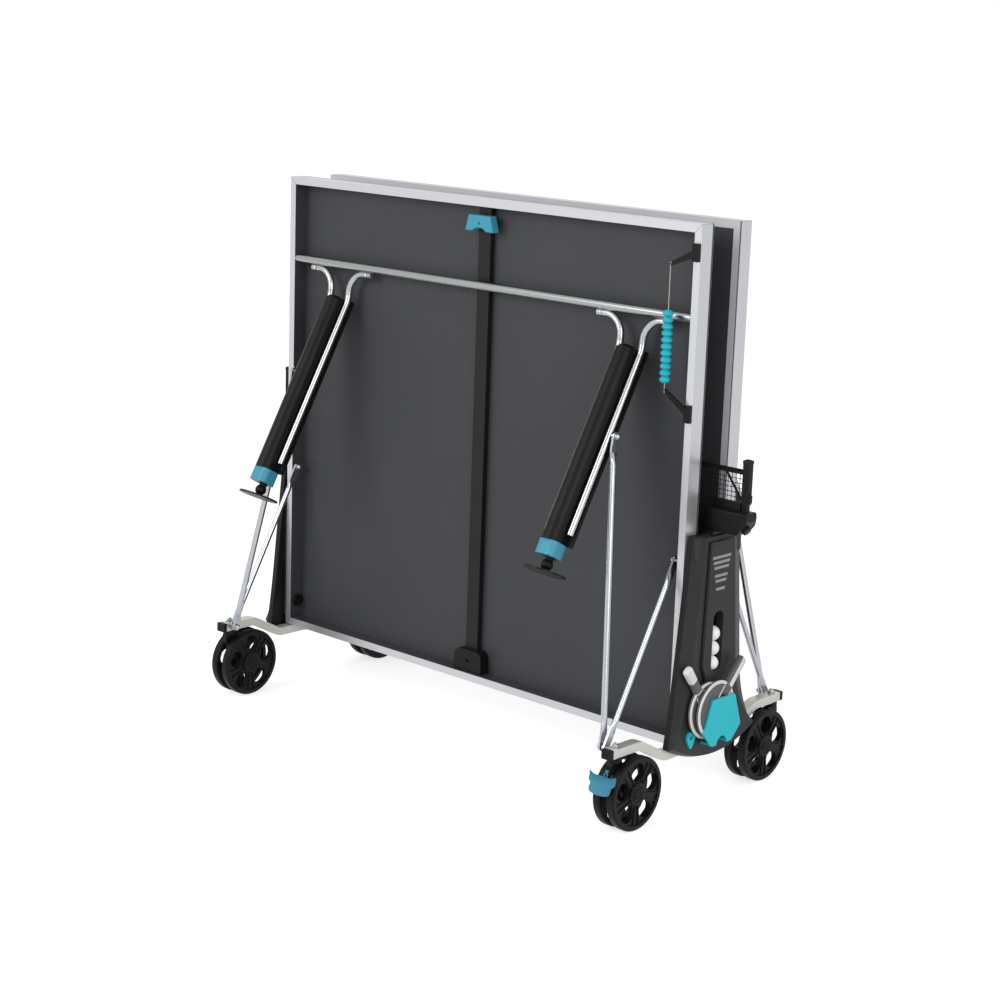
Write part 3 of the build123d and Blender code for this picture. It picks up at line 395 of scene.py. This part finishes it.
# End covers and guide rails
# Tall hollow mouldings in grained black, screwed to the arms, with a raised spine and a ball trough.
# Drawn channels inside them guide the halves' shoes; plain pale bars are printed on the spine.
cover_plastic = finish("cover_plastic", paint(49, 49, 50), paint(42, 42, 43), paint(96, 96, 98), 0.44,
                       blotch=6.0, grain_scale=1300.0, bump=0.26, wear_and_sheen=0.3, shine=0.16)
cover_crease, side_shade_black = 0.7851, paint(24, 24, 25)


def off_middle(tree, axis):
    """How far the surface is from the table's middle along X or Y, or from the floor along Z."""
    spot = tree.nodes.new("ShaderNodeTexCoord")
    axes = tree.nodes.new("ShaderNodeSeparateXYZ")
    tree.links.new(spot.outputs["Object"], axes.inputs["Vector"])
    return sum_node(tree, "ABSOLUTE", axes.outputs[axis], 0.0)


def overpaint(tree, mask, colour):
    """Lay a second colour over a finish where the mask is one."""
    base = tree.nodes["Principled BSDF"].inputs["Base Color"]
    tree.links.new(blend_node(tree, mask, base.links[0].from_socket, colour), base)


tree = cover_plastic.node_tree
# Painted shade: the cover's side faces, inside the crease, are darkened as if in shadow.
overpaint(tree, sum_node(tree, "LESS_THAN", off_middle(tree, "X"), cover_crease), side_shade_black)
dress(cover_plastic, "side_cover_right", "side_cover_left")
guide_metal = finish("guide_metal", paint(150, 152, 155), paint(136, 138, 141), paint(190, 192, 194),
                     0.34, metal=0.8, bump=0.08)
dress(guide_metal, "guide_rails")
groove_shade_black = finish("groove_shade_black", paint(10, 10, 10), paint(7, 7, 7), paint(30, 30, 30), 0.5,
                    wear_and_sheen=0.0, shine=0.08)
print_grey = finish("print_grey", paint(158, 158, 157), paint(140, 140, 139), paint(170, 170, 170),
                    0.5, blotch=220.0, grain_scale=2600.0, bump=0.1, wear_and_sheen=0.0, shine=0.2)
cover_face, spine_face = 0.8, 0.807
spine_line = ((0.046, 0.735), (0.058, 0.400), (0.034, 0.345))
groove_shade_width, groove_shade_high = 0.005, 0.0012
bar_rows = ((0.690, 0.078), (0.676, 0.070), (0.662, 0.062), (0.640, 0.054), (0.626, 0.046),
            (0.604, 0.038))
bar_tall, print_thick = 0.0075, 0.0004
cover_screw = ((0.0, 0.0), (0.0075, 0.0), (0.0072, 0.0018), (0.0050, 0.0026), (0.0036, 0.0026),
               (0.0034, 0.0012), (0.0, 0.0012))
screw_y, screw_z = 0.078, 0.252
for hand, sign in (("right", 1), ("left", -1)):
    groove_shades, bars, screws = bmesh.new(), bmesh.new(), bmesh.new()
    toward = "X" if sign > 0 else "-X"
    for side in (-1, 1):
        # Painted shade: a black strip along each edge of the spine stands for the shade in the groove
        # there.
        for (y, z), (next_y, next_z) in zip(spine_line, spine_line[1:]):
            start = Vector((sign * cover_face, side * (y + groove_shade_width / 2), z))
            end = Vector((sign * cover_face, side * (next_y + groove_shade_width / 2), next_z))
            across = (end - start).normalized().cross(outward)
            bar(groove_shades, start, end, across, sign * outward, groove_shade_width, groove_shade_high)
        turned(screws, cover_screw, stand(sign * cover_face, side * screw_y, screw_z, toward))
    for z, width in bar_rows:
        start = Vector((sign * spine_face, -width / 2, z))
        end = Vector((sign * spine_face, width / 2, z))
        bar(bars, start, end, Vector((0, 0, 1)), sign * outward, bar_tall, print_thick)
    as_piece(groove_shades, f"cover_groove_shade_{hand}", groove_shade_black, "undercarriage")
    as_piece(bars, f"cover_print_{hand}", print_grey, "undercarriage")
    as_piece(screws, f"cover_screws_{hand}", black_plastic, "undercarriage")

# Bat clips and hanging hooks
# Springy turquoise plates on two feet, moulded in one, that hold the bats against the covers.
# A tear-drop hook beside each clip carries a bag or a towel.
turquoise_plastic = finish("turquoise_plastic", paint(38, 196, 208), paint(33, 188, 201),
                           paint(110, 212, 220), 0.38, grain_scale=900.0, bump=0.12, wear_and_sheen=0.2,
                           shine=0.22)
dress(turquoise_plastic, "bat_clips", "hang_hooks")

# Net brackets and posts
# Black mouldings bolted on top of the covers; each post slides up and down in its bracket.
# Ribs, a net guard and a hollow clamp knob are moulded on; a rounded cap and a stop finish the post.
dress(black_plastic, "net_brackets", "net_posts")
bracket_line = ((0.771, 0.776), (0.846, 0.776), (0.862, 0.782), (0.8885, 0.806))
bracket_half, rib_tall, rib_proud = 0.025, 0.0045, 0.0022
bracket_screw = ((0.0, 0.0), (0.0055, 0.0), (0.0052, 0.0016), (0.0034, 0.0022), (0.0, 0.0022))
bracket_screw_x, bracket_screw_z = (0.790, 0.842), 0.800
post_middle, post_half_x, post_half_y, post_head = 0.872, 0.011, 0.0095, 0.948
cap_height, cap_crown, cap_cells = 0.007, 0.0035, 8
stop_top, stop_foot, stop_wide, stop_deep = 0.866, 0.846, 0.012, 0.005
clamp_knob = ((0.0116, 0.0), (0.0128, 0.0), (0.0125, 0.0080), (0.0112, 0.0094), (0.0064, 0.0099),
              (0.0, 0.0092), (0.0, 0.0083), (0.0086, 0.0083), (0.0110, 0.0074), (0.0116, 0.0))
knob_x, knob_z, knob_slope = 0.8759, 0.7745, math.radians(34.4)
guard_in, guard_end, guard_foot, guard_head = 0.772, 0.8575, 0.8195, 0.8425
guard_gap, guard_thick, guard_corner = 0.003, 0.0026, 0.004
guard_edge = ((guard_foot, 0.0), (guard_head - guard_corner, 0.0),
              (guard_head - guard_corner / 3, guard_corner / 3), (guard_head, guard_corner))
for hand, sign in (("right", 1), ("left", -1)):
    ribs, tops = bmesh.new(), bmesh.new()
    for side in (-1, 1):
        for (x, z), (next_x, next_z) in zip(bracket_line, bracket_line[1:]):
            start = Vector((sign * x, side * bracket_half, z))
            end = Vector((sign * next_x, side * bracket_half, next_z))
            across = (end - start).normalized().cross(Vector((0, 1, 0)))
            bar(ribs, start, end, across, Vector((0, side, 0)), rib_tall, rib_proud)
        for x in bracket_screw_x:
            turned(ribs, bracket_screw, stand(sign * x, side * bracket_half, bracket_screw_z,
                                              "Y" if side > 0 else "-Y"), sides=20)
        guard = [[Vector((sign * x, side * guard_gap, z)) for x in (guard_in + cut, guard_end - cut)]
                 for z, cut in guard_edge]
        slab(ribs, guard, Vector((0, side * guard_thick, 0)))
    knob_turn = Matrix.Rotation(sign * (math.pi / 2 + knob_slope), 4, "Y")
    turned(ribs, clamp_knob, stand(sign * knob_x, 0, knob_z) @ knob_turn, sides=32)
    rows = []
    for r in range(cap_cells + 1):
        row = []
        for c in range(cap_cells + 1):
            u, v = 2 * c / cap_cells - 1, 2 * r / cap_cells - 1
            top = post_head + cap_height + cap_crown * (1 - u ** 4) * (1 - v ** 4)
            row.append(Vector((sign * post_middle + u * post_half_x, v * post_half_y, top)))
        rows.append(row)
    slab(tops, rows, Vector((0, 0, -cap_height)))
    stop_x = sign * (post_middle + post_half_x)
    bar(tops, Vector((stop_x, 0, stop_top)), Vector((stop_x, 0, stop_foot)), Vector((0, 1, 0)),
        sign * outward, stop_wide, stop_deep)
    as_piece(ribs, f"bracket_ribs_{hand}", black_plastic, "undercarriage")
    as_piece(tops, f"post_caps_{hand}", black_plastic, "net", sharp=50)

# Net cloth
# Knotted black cord in a small square mesh, stretched between the posts and stepped up over the
# brackets, with a woven tape sewn along its top edge and a strap across each end.
net_cord = finish("net_cord", paint(26, 26, 28), paint(18, 18, 20), paint(46, 46, 48), 0.8,
                  blotch=120.0, grain_scale=2200.0, bump=0.5, wear_and_sheen=0.0, shine=0.1)
cord_radius, knot_radius, cord_sag = 0.00075, 0.00115, 0.0002
net_pitch = 0.0125
net_top, net_low, net_end = 0.917, 0.780, 0.861
net_step, step_low = 0.755, 0.840
part_cell = 0.3


def cord(form, knots, sag=0.0, sides=5):
    """A cord through its knots in the net's plane, thinner and a little slack between them."""
    points, radii = [knots[0]], [knot_radius]
    for knot, after in zip(knots, knots[1:]):
        points += [(knot + after) / 2 - Vector((0, 0, sag)), after]
        radii += [cord_radius, knot_radius]
    along = (points[-1] - points[0]).normalized()
    across = along.cross(Vector((0, 1, 0))).normalized()
    rings = []
    for point, radius in zip(points, radii):
        ring = []
        for k in range(sides):
            angle = 2 * math.pi * k / sides
            out = math.cos(angle) * across + math.sin(angle) * Vector((0, 1, 0))
            ring.append(form.verts.new(point + radius * out))
        rings.append(ring)
    for low, high in zip(rings, rings[1:]):
        for k in range(sides):
            n = (k + 1) % sides
            form.faces.new((low[k], low[n], high[n], high[k]))
    form.faces.new(rings[0])
    form.faces.new(rings[-1])


columns = round(2 * net_end / net_pitch)
rows = round((net_top - net_low) / net_pitch)
column_step = 2 * net_end / columns
row_step = (net_top - net_low) / rows
column_places = [k * column_step - net_end for k in range(columns + 1)]
row_places = [net_low + k * row_step for k in range(rows + 1)]
netting = bmesh.new()
for z in row_places:
    reach = net_end if z > step_low else net_step
    inside = [x for x in column_places if abs(x) < reach - part_cell * column_step]
    cord(netting, [Vector((x, 0, z)) for x in (-reach, *inside, reach)], cord_sag)
for x in column_places:
    low = step_low if abs(x) > net_step else net_low
    above = [z for z in row_places if z > low + part_cell * row_step]
    cord(netting, [Vector((x, 0, z)) for z in (low, *above)])
net = as_piece(netting, "net_cloth", net_cord, "net", sharp=80)
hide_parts("net_mesh")
tape_cloth = finish("tape_cloth", paint(22, 22, 23), paint(16, 16, 17), paint(40, 40, 42), 0.7,
                    blotch=80.0, grain_scale=2500.0, bump=0.5, wear_and_sheen=0.1, shine=0.12)
dress(tape_cloth, "net_tape")
strap_top, strap_foot = (0.806, 0.917), (0.8608, 0.845)
strap_half, strap_lift, strap_cells = 0.003, 0.0011, 8
straps = bmesh.new()
for side in (-1, 1):
    top = Vector((side * strap_top[0], strap_lift, strap_top[1]))
    foot = Vector((side * strap_foot[0], strap_lift, strap_foot[1]))
    wide = strap_half * (foot - top).normalized().cross(Vector((0, 1, 0)))
    steps = [top + (foot - top) * k / strap_cells for k in range(strap_cells + 1)]
    slab(straps, [[point - wide, point + wide] for point in steps], Vector((0, -2 * strap_lift, 0)))
strap = as_piece(straps, "net_end_straps", tape_cloth, "net")
thread = finish("tape_thread", paint(58, 58, 60), paint(48, 48, 50), paint(70, 70, 72), 0.8, bump=0.3,
                wear_and_sheen=0.0, shine=0.1)
stitch_pitch, stitch_long, stitch_wide, stitch_high = 0.012, 0.0075, 0.0009, 0.0004
stitch_start, stitch_end, tape_face, stitch_z = 0.006, 0.004, 0.002, 0.9194
stitches = bmesh.new()
for face in (-1, 1):
    for k in range(int(2 * (net_end - stitch_end) / stitch_pitch)):
        start = Vector((k * stitch_pitch - net_end + stitch_start, face * tape_face, stitch_z))
        bar(stitches, start, start + stitch_long * outward, Vector((0, 0, 1)), Vector((0, face, 0)),
            stitch_wide, stitch_high)
seam = as_piece(stitches, "tape_stitching", thread, "net")

# Table halves
# A dark grey weatherproof laminate panel bonded into a mitred frame of silver channel rails.
# White court lines are printed on the playing face only.
laminate = finish("panel_laminate", paint(59, 60, 63), paint(55, 56, 59), paint(82, 83, 86), 0.5,
                  blotch=3.0, grain_scale=600.0, bump=0.1, wear_and_sheen=0.0, shine=0.25)
playing_depth, side_line_from, centre_line_half, end_line_from = 0.0548, 0.7425, 0.0015, 1.532
line_white = paint(192, 194, 198)
tree = laminate.node_tree
side = off_middle(tree, "X")
playing_face = sum_node(tree, "LESS_THAN", off_middle(tree, "Y"), playing_depth)
side_line = sum_node(tree, "GREATER_THAN", side, side_line_from)
centre_line = sum_node(tree, "LESS_THAN", side, centre_line_half)
end_line = sum_node(tree, "GREATER_THAN", off_middle(tree, "Z"), end_line_from)
lines = sum_node(tree, "MAXIMUM", sum_node(tree, "MAXIMUM", side_line, centre_line), end_line)
overpaint(tree, sum_node(tree, "MULTIPLY", lines, playing_face), line_white)
frame_silver = finish("frame_silver", paint(197, 198, 202), paint(190, 191, 195), paint(230, 230, 232),
                      0.32, blotch=4.0, grain_scale=900.0, bump=0.05, metal=0.65, wear_and_sheen=0.2)
rail_inside, low_inside, top_inside = 0.7411, 0.2034, 1.5306
top_mitre, low_mitre, mitre_half, mitre_share = 0.7895, 0.9445, 0.0008, 0.75
inside_shade_grey, seam_grey = paint(92, 93, 96), paint(70, 70, 72)
tree = frame_silver.node_tree
side, height = off_middle(tree, "X"), off_middle(tree, "Z")
between = sum_node(tree, "MULTIPLY", sum_node(tree, "GREATER_THAN", height, low_inside),
                   sum_node(tree, "LESS_THAN", height, top_inside))
inner = sum_node(tree, "MULTIPLY", sum_node(tree, "LESS_THAN", side, rail_inside), between)
top_run, low_run = sum_node(tree, "SUBTRACT", height, side), sum_node(tree, "ADD", height, side)
top_seam = sum_node(tree, "COMPARE", top_run, top_mitre, mitre_half)
low_seam = sum_node(tree, "COMPARE", low_run, low_mitre, mitre_half)
# Painted shade: the rails' inner walls, facing the panel, are laid over in a darker grey.
overpaint(tree, inner, inside_shade_grey)
overpaint(tree, sum_node(tree, "MULTIPLY", sum_node(tree, "MAXIMUM", top_seam, low_seam), mitre_share),
          seam_grey)
beam_coat = finish("beam_coat", paint(26, 26, 27), paint(21, 21, 22), paint(80, 80, 82), 0.4,
                   grain_scale=800.0, bump=0.1, wear_and_sheen=0.3, shine=0.18)
for end in ends:
    dress(laminate, f"{end}_top_panel")
    dress(frame_silver, f"{end}_frame_rails")
    dress(beam_coat, f"{end}_centre_beam")
    dress(black_plastic, f"{end}_lock_block", f"{end}_guide_shoes")
    dress(teal_plastic, f"{end}_release_handle")

# Legs
# Bright galvanised tube: a cross tube that turns in the side rails, and four bent legs bolted under
# it, their ends plugged. Moulded fairings join each pair; teal collars hold the levelling feet.
streak_scale, streak_detail, streak_gloss = 70.0, 2.0, 0.06
streaks, given, made = new_effect(
    "drawn_streaks",
    (("Colour", "Color", paint(190, 192, 195)), ("Shade", "Color", paint(160, 163, 167)),
     ("Stretch", "Vector", (1.0, 1.0, 0.04)), ("Roughness", "Float", 0.24)),
    (("Colour", "Color"), ("Roughness", "Float"), ("Height", "Float")))
place = streaks.nodes.new("ShaderNodeTexCoord")
pulled = streaks.nodes.new("ShaderNodeVectorMath")
pulled.operation = "MULTIPLY"
streaks.links.new(place.outputs["Object"], pulled.inputs[0])
streaks.links.new(given.outputs["Stretch"], pulled.inputs[1])
noise = streaks.nodes.new("ShaderNodeTexNoise")
noise.inputs["Scale"].default_value = streak_scale
noise.inputs["Detail"].default_value = streak_detail
streaks.links.new(pulled.outputs["Vector"], noise.inputs["Vector"])
streaky = noise.outputs["Fac"]
streaks.links.new(blend_node(streaks, streaky, given.outputs["Colour"], given.outputs["Shade"]),
                  made.inputs["Colour"])
dulled = sum_node(streaks, "MULTIPLY_ADD", streaky, streak_gloss, given.outputs["Roughness"])
streaks.links.new(dulled, made.inputs["Roughness"])
streaks.links.new(streaky, made.inputs["Height"])


def drawn_tube(name, colour, shade, stretch, roughness, bump=0.02, bump_depth=0.0003):
    """Bright drawn tube, with long streaks along it."""
    material = bpy.data.materials.new(name)
    material.use_nodes = True
    tree = material.node_tree
    shader = tree.nodes["Principled BSDF"]
    drawn = placed_effect(tree, streaks, Colour=colour, Shade=shade, Stretch=stretch,
                          Roughness=roughness)
    tree.links.new(drawn.outputs["Colour"], shader.inputs["Base Color"])
    tree.links.new(drawn.outputs["Roughness"], shader.inputs["Roughness"])
    relief(tree, drawn.outputs["Height"], bump, bump_depth)
    shader.inputs["Metallic"].default_value = 1.0
    return material


leg_tube = drawn_tube("leg_tube", paint(174, 176, 177), paint(166, 168, 170), (0.6, 0.06, 0.04), 0.22)
cross_tube = drawn_tube("cross_tube", paint(158, 160, 160), paint(150, 152, 153), (0.02, 0.4, 0.4),
                        0.22)
fairing_black = finish("fairing_black", paint(19, 19, 20), paint(15, 15, 16), paint(60, 60, 62), 0.42,
                       grain_scale=1200.0, bump=0.12, wear_and_sheen=0.15, shine=0.14)
flare_end, flare_y, flare_z, flare_radius = (0.429, 0.671), 0.092, 1.293, 0.0095
flare_plug = ((0.0, -0.001), (0.0072, -0.001), (0.0086, 0.0), (0.0092, 0.0012), (0.0066, 0.0026),
              (0.0, 0.0032))
flare_bolt = ((0.0, -0.001), (0.0052, -0.001), (0.0056, 0.0), (0.0054, 0.0022), (0.0036, 0.0034),
              (0.0, 0.0038))
bolt_inset = 0.013
for end in ends:
    fixings = bmesh.new()
    turn = 1 if end == "front" else -1
    bolt_y, bolt_toward = -turn * (flare_y + flare_radius), "-Y" if turn > 0 else "Y"
    for side in (-1, 1):
        for x, out in zip(flare_end, (-1, 1)):
            plug_toward = "X" if side * out > 0 else "-X"
            turned(fixings, flare_plug, stand(side * x, -turn * flare_y, flare_z, plug_toward))
            bolt_x = side * (x - out * bolt_inset)
            turned(fixings, flare_bolt, stand(bolt_x, bolt_y, flare_z, bolt_toward), sides=16)
    as_piece(fixings, f"{end}_leg_bolts", zinc, f"{end}_legs")
    dress(cross_tube, f"{end}_leg_cross_tube")
    dress(leg_tube, f"{end}_leg_tubes")
    dress(fairing_black, f"{end}_leg_fairings", f"{end}_foot_left", f"{end}_foot_right")
    dress(teal_plastic, f"{end}_leg_collars")

# Struts
# Galvanised tube flattened and drilled at both ends, bolted to the rails, the legs and the arms.
# Domed nuts with washers close the bolts.
strut_tube = drawn_tube("strut_tube", paint(178, 181, 185), paint(170, 173, 177), (0.6, 0.05, 0.03),
                        0.24)
dome_nut = ((0.0, 0.0), (0.0074, 0.0), (0.0074, 0.0010), (0.0062, 0.0016), (0.0058, 0.0036),
            (0.0040, 0.0052), (0.0, 0.0056))
leg_bolt = (0.618, -0.2196, 1.0043)
rail_bolt = (0.720, -0.0945, 0.680)
arm_bolt = (0.706, -0.34555, 0.226)
for end in ends:
    dress(strut_tube, f"{end}_frame_struts", f"{end}_leg_struts")
    turn = 1 if end == "front" else -1
    for body, nut_places in (("frame_strut_pair", ((rail_bolt, -1),)),
                             ("leg_strut_pair", ((leg_bolt, 1), (arm_bolt, -1)))):
        nuts = bmesh.new()
        for (x, y, z), out in nut_places:
            for side in (-1, 1):
                toward = "X" if side * out > 0 else "-X"
                turned(nuts, dome_nut, stand(side * x, turn * y, z, toward), sides=12)
        as_piece(nuts, f"{end}_{body}_nuts", zinc, f"{end}_{body}")

# Score counter
# Black moulded clips on the side rail hold a wire with a row of turquoise beads.
# The beads slide along the wire to keep the score.
bead_plastic = finish("bead_plastic", paint(38, 176, 193), paint(33, 168, 186), paint(110, 206, 216),
                      0.34, blotch=30.0, grain_scale=900.0, bump=0.08, wear_and_sheen=0.1, shine=0.3)
counter_plastic = finish("counter_plastic", paint(20, 20, 21), paint(15, 15, 16), paint(70, 70, 72),
                         0.42, grain_scale=1100.0, bump=0.2, wear_and_sheen=0.25, shine=0.14)
wire_x, wire_y, wire_reach, wire_steel = 0.690, 0.131, 0.0024, paint(150, 150, 146)
tree = counter_plastic.node_tree
wire = sum_node(tree, "MULTIPLY",
                sum_node(tree, "COMPARE", off_middle(tree, "X"), wire_x, wire_reach),
                sum_node(tree, "COMPARE", off_middle(tree, "Y"), wire_y, wire_reach))
overpaint(tree, wire, wire_steel)
tree.links.new(wire, tree.nodes["Principled BSDF"].inputs["Metallic"])
for end in ends:
    dress(counter_plastic, f"{end}_counter_bracket")
    dress(bead_plastic, f"{end}_counter_beads")

# Bats
# Moulded outdoor bats: a grey blade with a pale rim on both faces, a pale U at the neck round a
# cut-out painted as a dark disc of shade, and a two-colour grip. They stand crossed behind the
# right-hand clip.
rubber_grey = finish("rubber_grey", paint(104, 104, 105), paint(94, 94, 95), paint(130, 130, 130),
                     0.6, blotch=20.0, grain_scale=1600.0, bump=0.35, wear_and_sheen=0.1, shine=0.25)
rim_white = finish("rim_white", paint(228, 228, 226), paint(214, 214, 212), paint(240, 240, 238),
                   0.45, blotch=30.0, grain_scale=1500.0, bump=0.08, wear_and_sheen=0.1)
cut_out_shade = finish("cut_out_shade", paint(30, 31, 36), paint(24, 25, 29), paint(48, 48, 52), 0.5,
                   wear_and_sheen=0.0, shine=0.2)
grey, white, dark = 0, 1, 2
bats = (("bat_outer", (0.829, -0.022, 0.284), 42, False),
        ("bat_inner", (0.813, -0.037, 0.280), -36, True))
blade_long, blade_wide, around = 0.079, 0.075, 72
blade_rings = ((0.0, 0.0046, grey), (0.890, 0.0046, white), (0.897, 0.0050, white),
               (0.958, 0.0050, white), (0.968, 0.0042, white), (1.0, 0.0028, grey),
               (1.0, -0.0028, white), (0.968, -0.0042, white), (0.958, -0.0050, white),
               (0.897, -0.0050, white), (0.890, -0.0046, grey), (0.0, -0.0046, grey))
u_tip, u_tip_half = 0.066, 0.0168
u_root, u_half = 0.052, 0.0172
u_bend, u_deep, u_cells = 0.038, 0.019, 12
u_lift, u_thick, u_stroke = 0.0054, 0.0012, 0.0017
u_line = [(u_tip, u_tip_half), (u_root, u_half)]
for k in range(u_cells + 1):
    swing = math.pi * k / u_cells
    u_line.append((u_bend - u_deep * math.sin(swing), u_half * math.cos(swing)))
u_line += [(u_root, -u_half), (u_tip, -u_tip_half)]
cut_out_shade_disc = ((0.0, 0.0), (0.0125, 0.0), (0.0118, 0.0006), (0.0, 0.0006))
hole_squash, hole_lift, hole_up = 0.8, 0.0044, 0.037
grip_rows = ((0.046, 0.0120, 0.0048), (0.054, 0.0165, 0.0064), (0.064, 0.0152, 0.0088),
             (0.074, 0.0136, 0.0102), (0.078, 0.0134, 0.0104), (0.116, 0.0128, 0.0104),
             (0.119, 0.0130, 0.0104), (0.146, 0.0138, 0.0104), (0.156, 0.0139, 0.0101),
             (0.160, 0.0128, 0.0090), (0.162, 0.0100, 0.0066))
grip_sides, grip_square = 28, 3.2
pale_from, band_from, band_to = 0.116, 0.072, 0.077
stripe_from, stripe_flat = 0.07, 0.9
for name, place, lean, pale_end in bats:
    middle = Vector(place)
    along = Vector((0, math.sin(math.radians(lean)), math.cos(math.radians(lean))))
    across = outward.cross(along)
    bat = bmesh.new()
    rings = []
    for scale, height, tint in blade_rings:
        ring = []
        for k in range(around if scale else 1):
            t = 2 * math.pi * k / around
            ring.append(bat.verts.new(middle + height * outward
                                      + scale * blade_long * math.cos(t) * along
                                      + scale * blade_wide * math.sin(t) * across))
        rings.append(ring)
    for low, high, (scale, height, tint) in zip(rings, rings[1:], blade_rings):
        for k in range(around):
            n = (k + 1) % around
            corners = (low[k % len(low)], low[n % len(low)], high[n % len(high)], high[k % len(high)])
            bat.faces.new(list(dict.fromkeys(corners))).material_index = tint
    for face in (-1, 1):
        lift = middle + face * u_lift * outward
        rows = []
        for k, (u, v) in enumerate(u_line):
            before, after = u_line[max(k - 1, 0)], u_line[min(k + 1, len(u_line) - 1)]
            run = Vector((after[0] - before[0], after[1] - before[1])).normalized()
            rows.append([lift + (u + edge * run.y) * along + (v - edge * run.x) * across
                         for edge in (-u_stroke, u_stroke)])
        slab(bat, rows, -face * u_thick * outward, white)
        # Painted shade: a dark disc on each face stands for the shade in the neck's cut-out.
        hole = Matrix((along, across * hole_squash, outward * face)).transposed().to_4x4()
        hole.translation = middle + face * hole_lift * outward + hole_up * along
        first = len(bat.faces)
        turned(bat, cut_out_shade_disc, hole, sides=28)
        bat.faces.ensure_lookup_table()
        for k in range(first, len(bat.faces)):
            bat.faces[k].material_index = dark
    rings = []
    for u, half_wide, half_thick in grip_rows:
        ring = []
        for k in range(grip_sides):
            t = 2 * math.pi * (k + 0.5) / grip_sides
            c, d = math.cos(t), math.sin(t)
            reach = (abs(c) ** grip_square + abs(d) ** grip_square) ** (-1 / grip_square)
            ring.append(bat.verts.new(middle + u * along + reach * c * half_wide * across
                                      + reach * d * half_thick * outward))
        rings.append(ring)
    for low, high, (u, half_wide, half_thick) in zip(rings, rings[1:], grip_rows):
        for k in range(grip_sides):
            n = (k + 1) % grip_sides
            pale = u >= pale_from or band_from < u < band_to
            if not pale_end:
                flat = abs(math.sin(2 * math.pi * (k + 1) / grip_sides)) > stripe_flat
                pale = flat and u > stripe_from
            side = bat.faces.new((low[k], low[n], high[n], high[k]))
            side.material_index = white if pale else grey
    bat.faces.new(rings[0]).material_index = grey
    bat.faces.new(rings[-1]).material_index = white if pale_end else grey
    piece = as_piece(bat, f"{name}_moulded", (rubber_grey, rim_white, cut_out_shade), f"{name}_loose",
                     sharp=40)
    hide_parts(name)

# Balls
# Seamless white celluloid, 40 mm across, three in the right-hand trough.
# They roll down as the lowest one is taken out.
ball_white = finish("ball_white", paint(250, 250, 248), paint(243, 243, 241), paint(250, 250, 249),
                    0.4, blotch=30.0, grain_scale=1800.0, bump=0.04, wear_and_sheen=0.0)
dress(ball_white, "balls")

# Studio
# A wide white floor, soft light from the front left with a weaker fill from the right, and the
# camera where the photograph was taken.
floor_half, floor_shade, floor_glow = 60, (0.6, 0.6, 0.6, 1.0), 0.68
sky_light, sky_seen = 0.64, 0.36
plain_white = (1.0, 1.0, 1.0, 1.0)


def seen_share(tree):
    """One for rays that show the background: straight, mirrored or through glass."""
    rays = tree.nodes.new("ShaderNodeLightPath")
    seen = sum_node(tree, "MAXIMUM", rays.outputs["Is Camera Ray"], rays.outputs["Is Glossy Ray"])
    return sum_node(tree, "MAXIMUM", seen, rays.outputs["Is Transmission Ray"])


floor_mesh = bpy.data.meshes.new("floor")
floor_mesh.from_pydata([(-floor_half, -floor_half, 0), (floor_half, -floor_half, 0),
                        (floor_half, floor_half, 0), (-floor_half, floor_half, 0)], [], [(0, 1, 2, 3)])
floor = bpy.data.objects.new("floor", floor_mesh)
bpy.context.scene.collection.objects.link(floor)
floor_white = bpy.data.materials.new("floor_white")
floor_white.use_nodes = True
tree = floor_white.node_tree
shader = tree.nodes["Principled BSDF"]
shader.inputs["Base Color"].default_value = floor_shade
shader.inputs["Roughness"].default_value = 1.0
shader.inputs["Specular IOR Level"].default_value = 0.0
shader.inputs["Emission Color"].default_value = plain_white
glow = sum_node(tree, "MULTIPLY", seen_share(tree), floor_glow)
tree.links.new(glow, shader.inputs["Emission Strength"])
floor_mesh.materials.append(floor_white)

world = bpy.data.worlds.new("studio")
bpy.context.scene.world = world
world.use_nodes = True
tree = world.node_tree
sky = tree.nodes["Background"]
sky.inputs["Color"].default_value = plain_white
brightness = sum_node(tree, "MULTIPLY_ADD", seen_share(tree), sky_seen, sky_light)
tree.links.new(brightness, sky.inputs["Strength"])


def soft_box(name, where, aim, size, power):
    """A square soft light aimed at a point."""
    lamp = bpy.data.lights.new(name, "AREA")
    lamp.size = size
    lamp.energy = power
    light = bpy.data.objects.new(name, lamp)
    bpy.context.scene.collection.objects.link(light)
    light.location = where
    light.rotation_euler = (Vector(aim) - Vector(where)).to_track_quat("-Z", "Y").to_euler()


soft_box("key", where=(-1.8, -5.2, 3.4), aim=(0.0, 0.0, 0.7), size=3.0, power=160.0)
soft_box("fill", where=(4.9, -2.4, 2.7), aim=(0.4, 0.0, 0.7), size=3.0, power=100.0)

eye = (4.05, -4.44, 2.08)
yaw, pitch, roll = math.radians(-42.23), math.radians(12.98), math.radians(2.01)
forward = Vector((math.sin(yaw) * math.cos(pitch), math.cos(yaw) * math.cos(pitch), -math.sin(pitch)))
level = Vector((math.cos(yaw), -math.sin(yaw), 0.0))
upright = level.cross(forward)
sideways = math.cos(roll) * level + math.sin(roll) * upright
upward = -math.sin(roll) * level + math.cos(roll) * upright
lens = bpy.data.cameras.new("photo_view")
lens.sensor_fit = "HORIZONTAL"
lens.sensor_width = 36.0
lens.lens = 78.08
lens.clip_end = 200.0
camera = bpy.data.objects.new("photo_view", lens)
bpy.context.scene.collection.objects.link(camera)
aim = Matrix((sideways, upward, -forward)).transposed()
camera.matrix_world = Matrix.Translation(eye) @ aim.to_4x4()
bpy.context.scene.camera = camera
bpy.context.scene.view_settings.view_transform = "Standard"
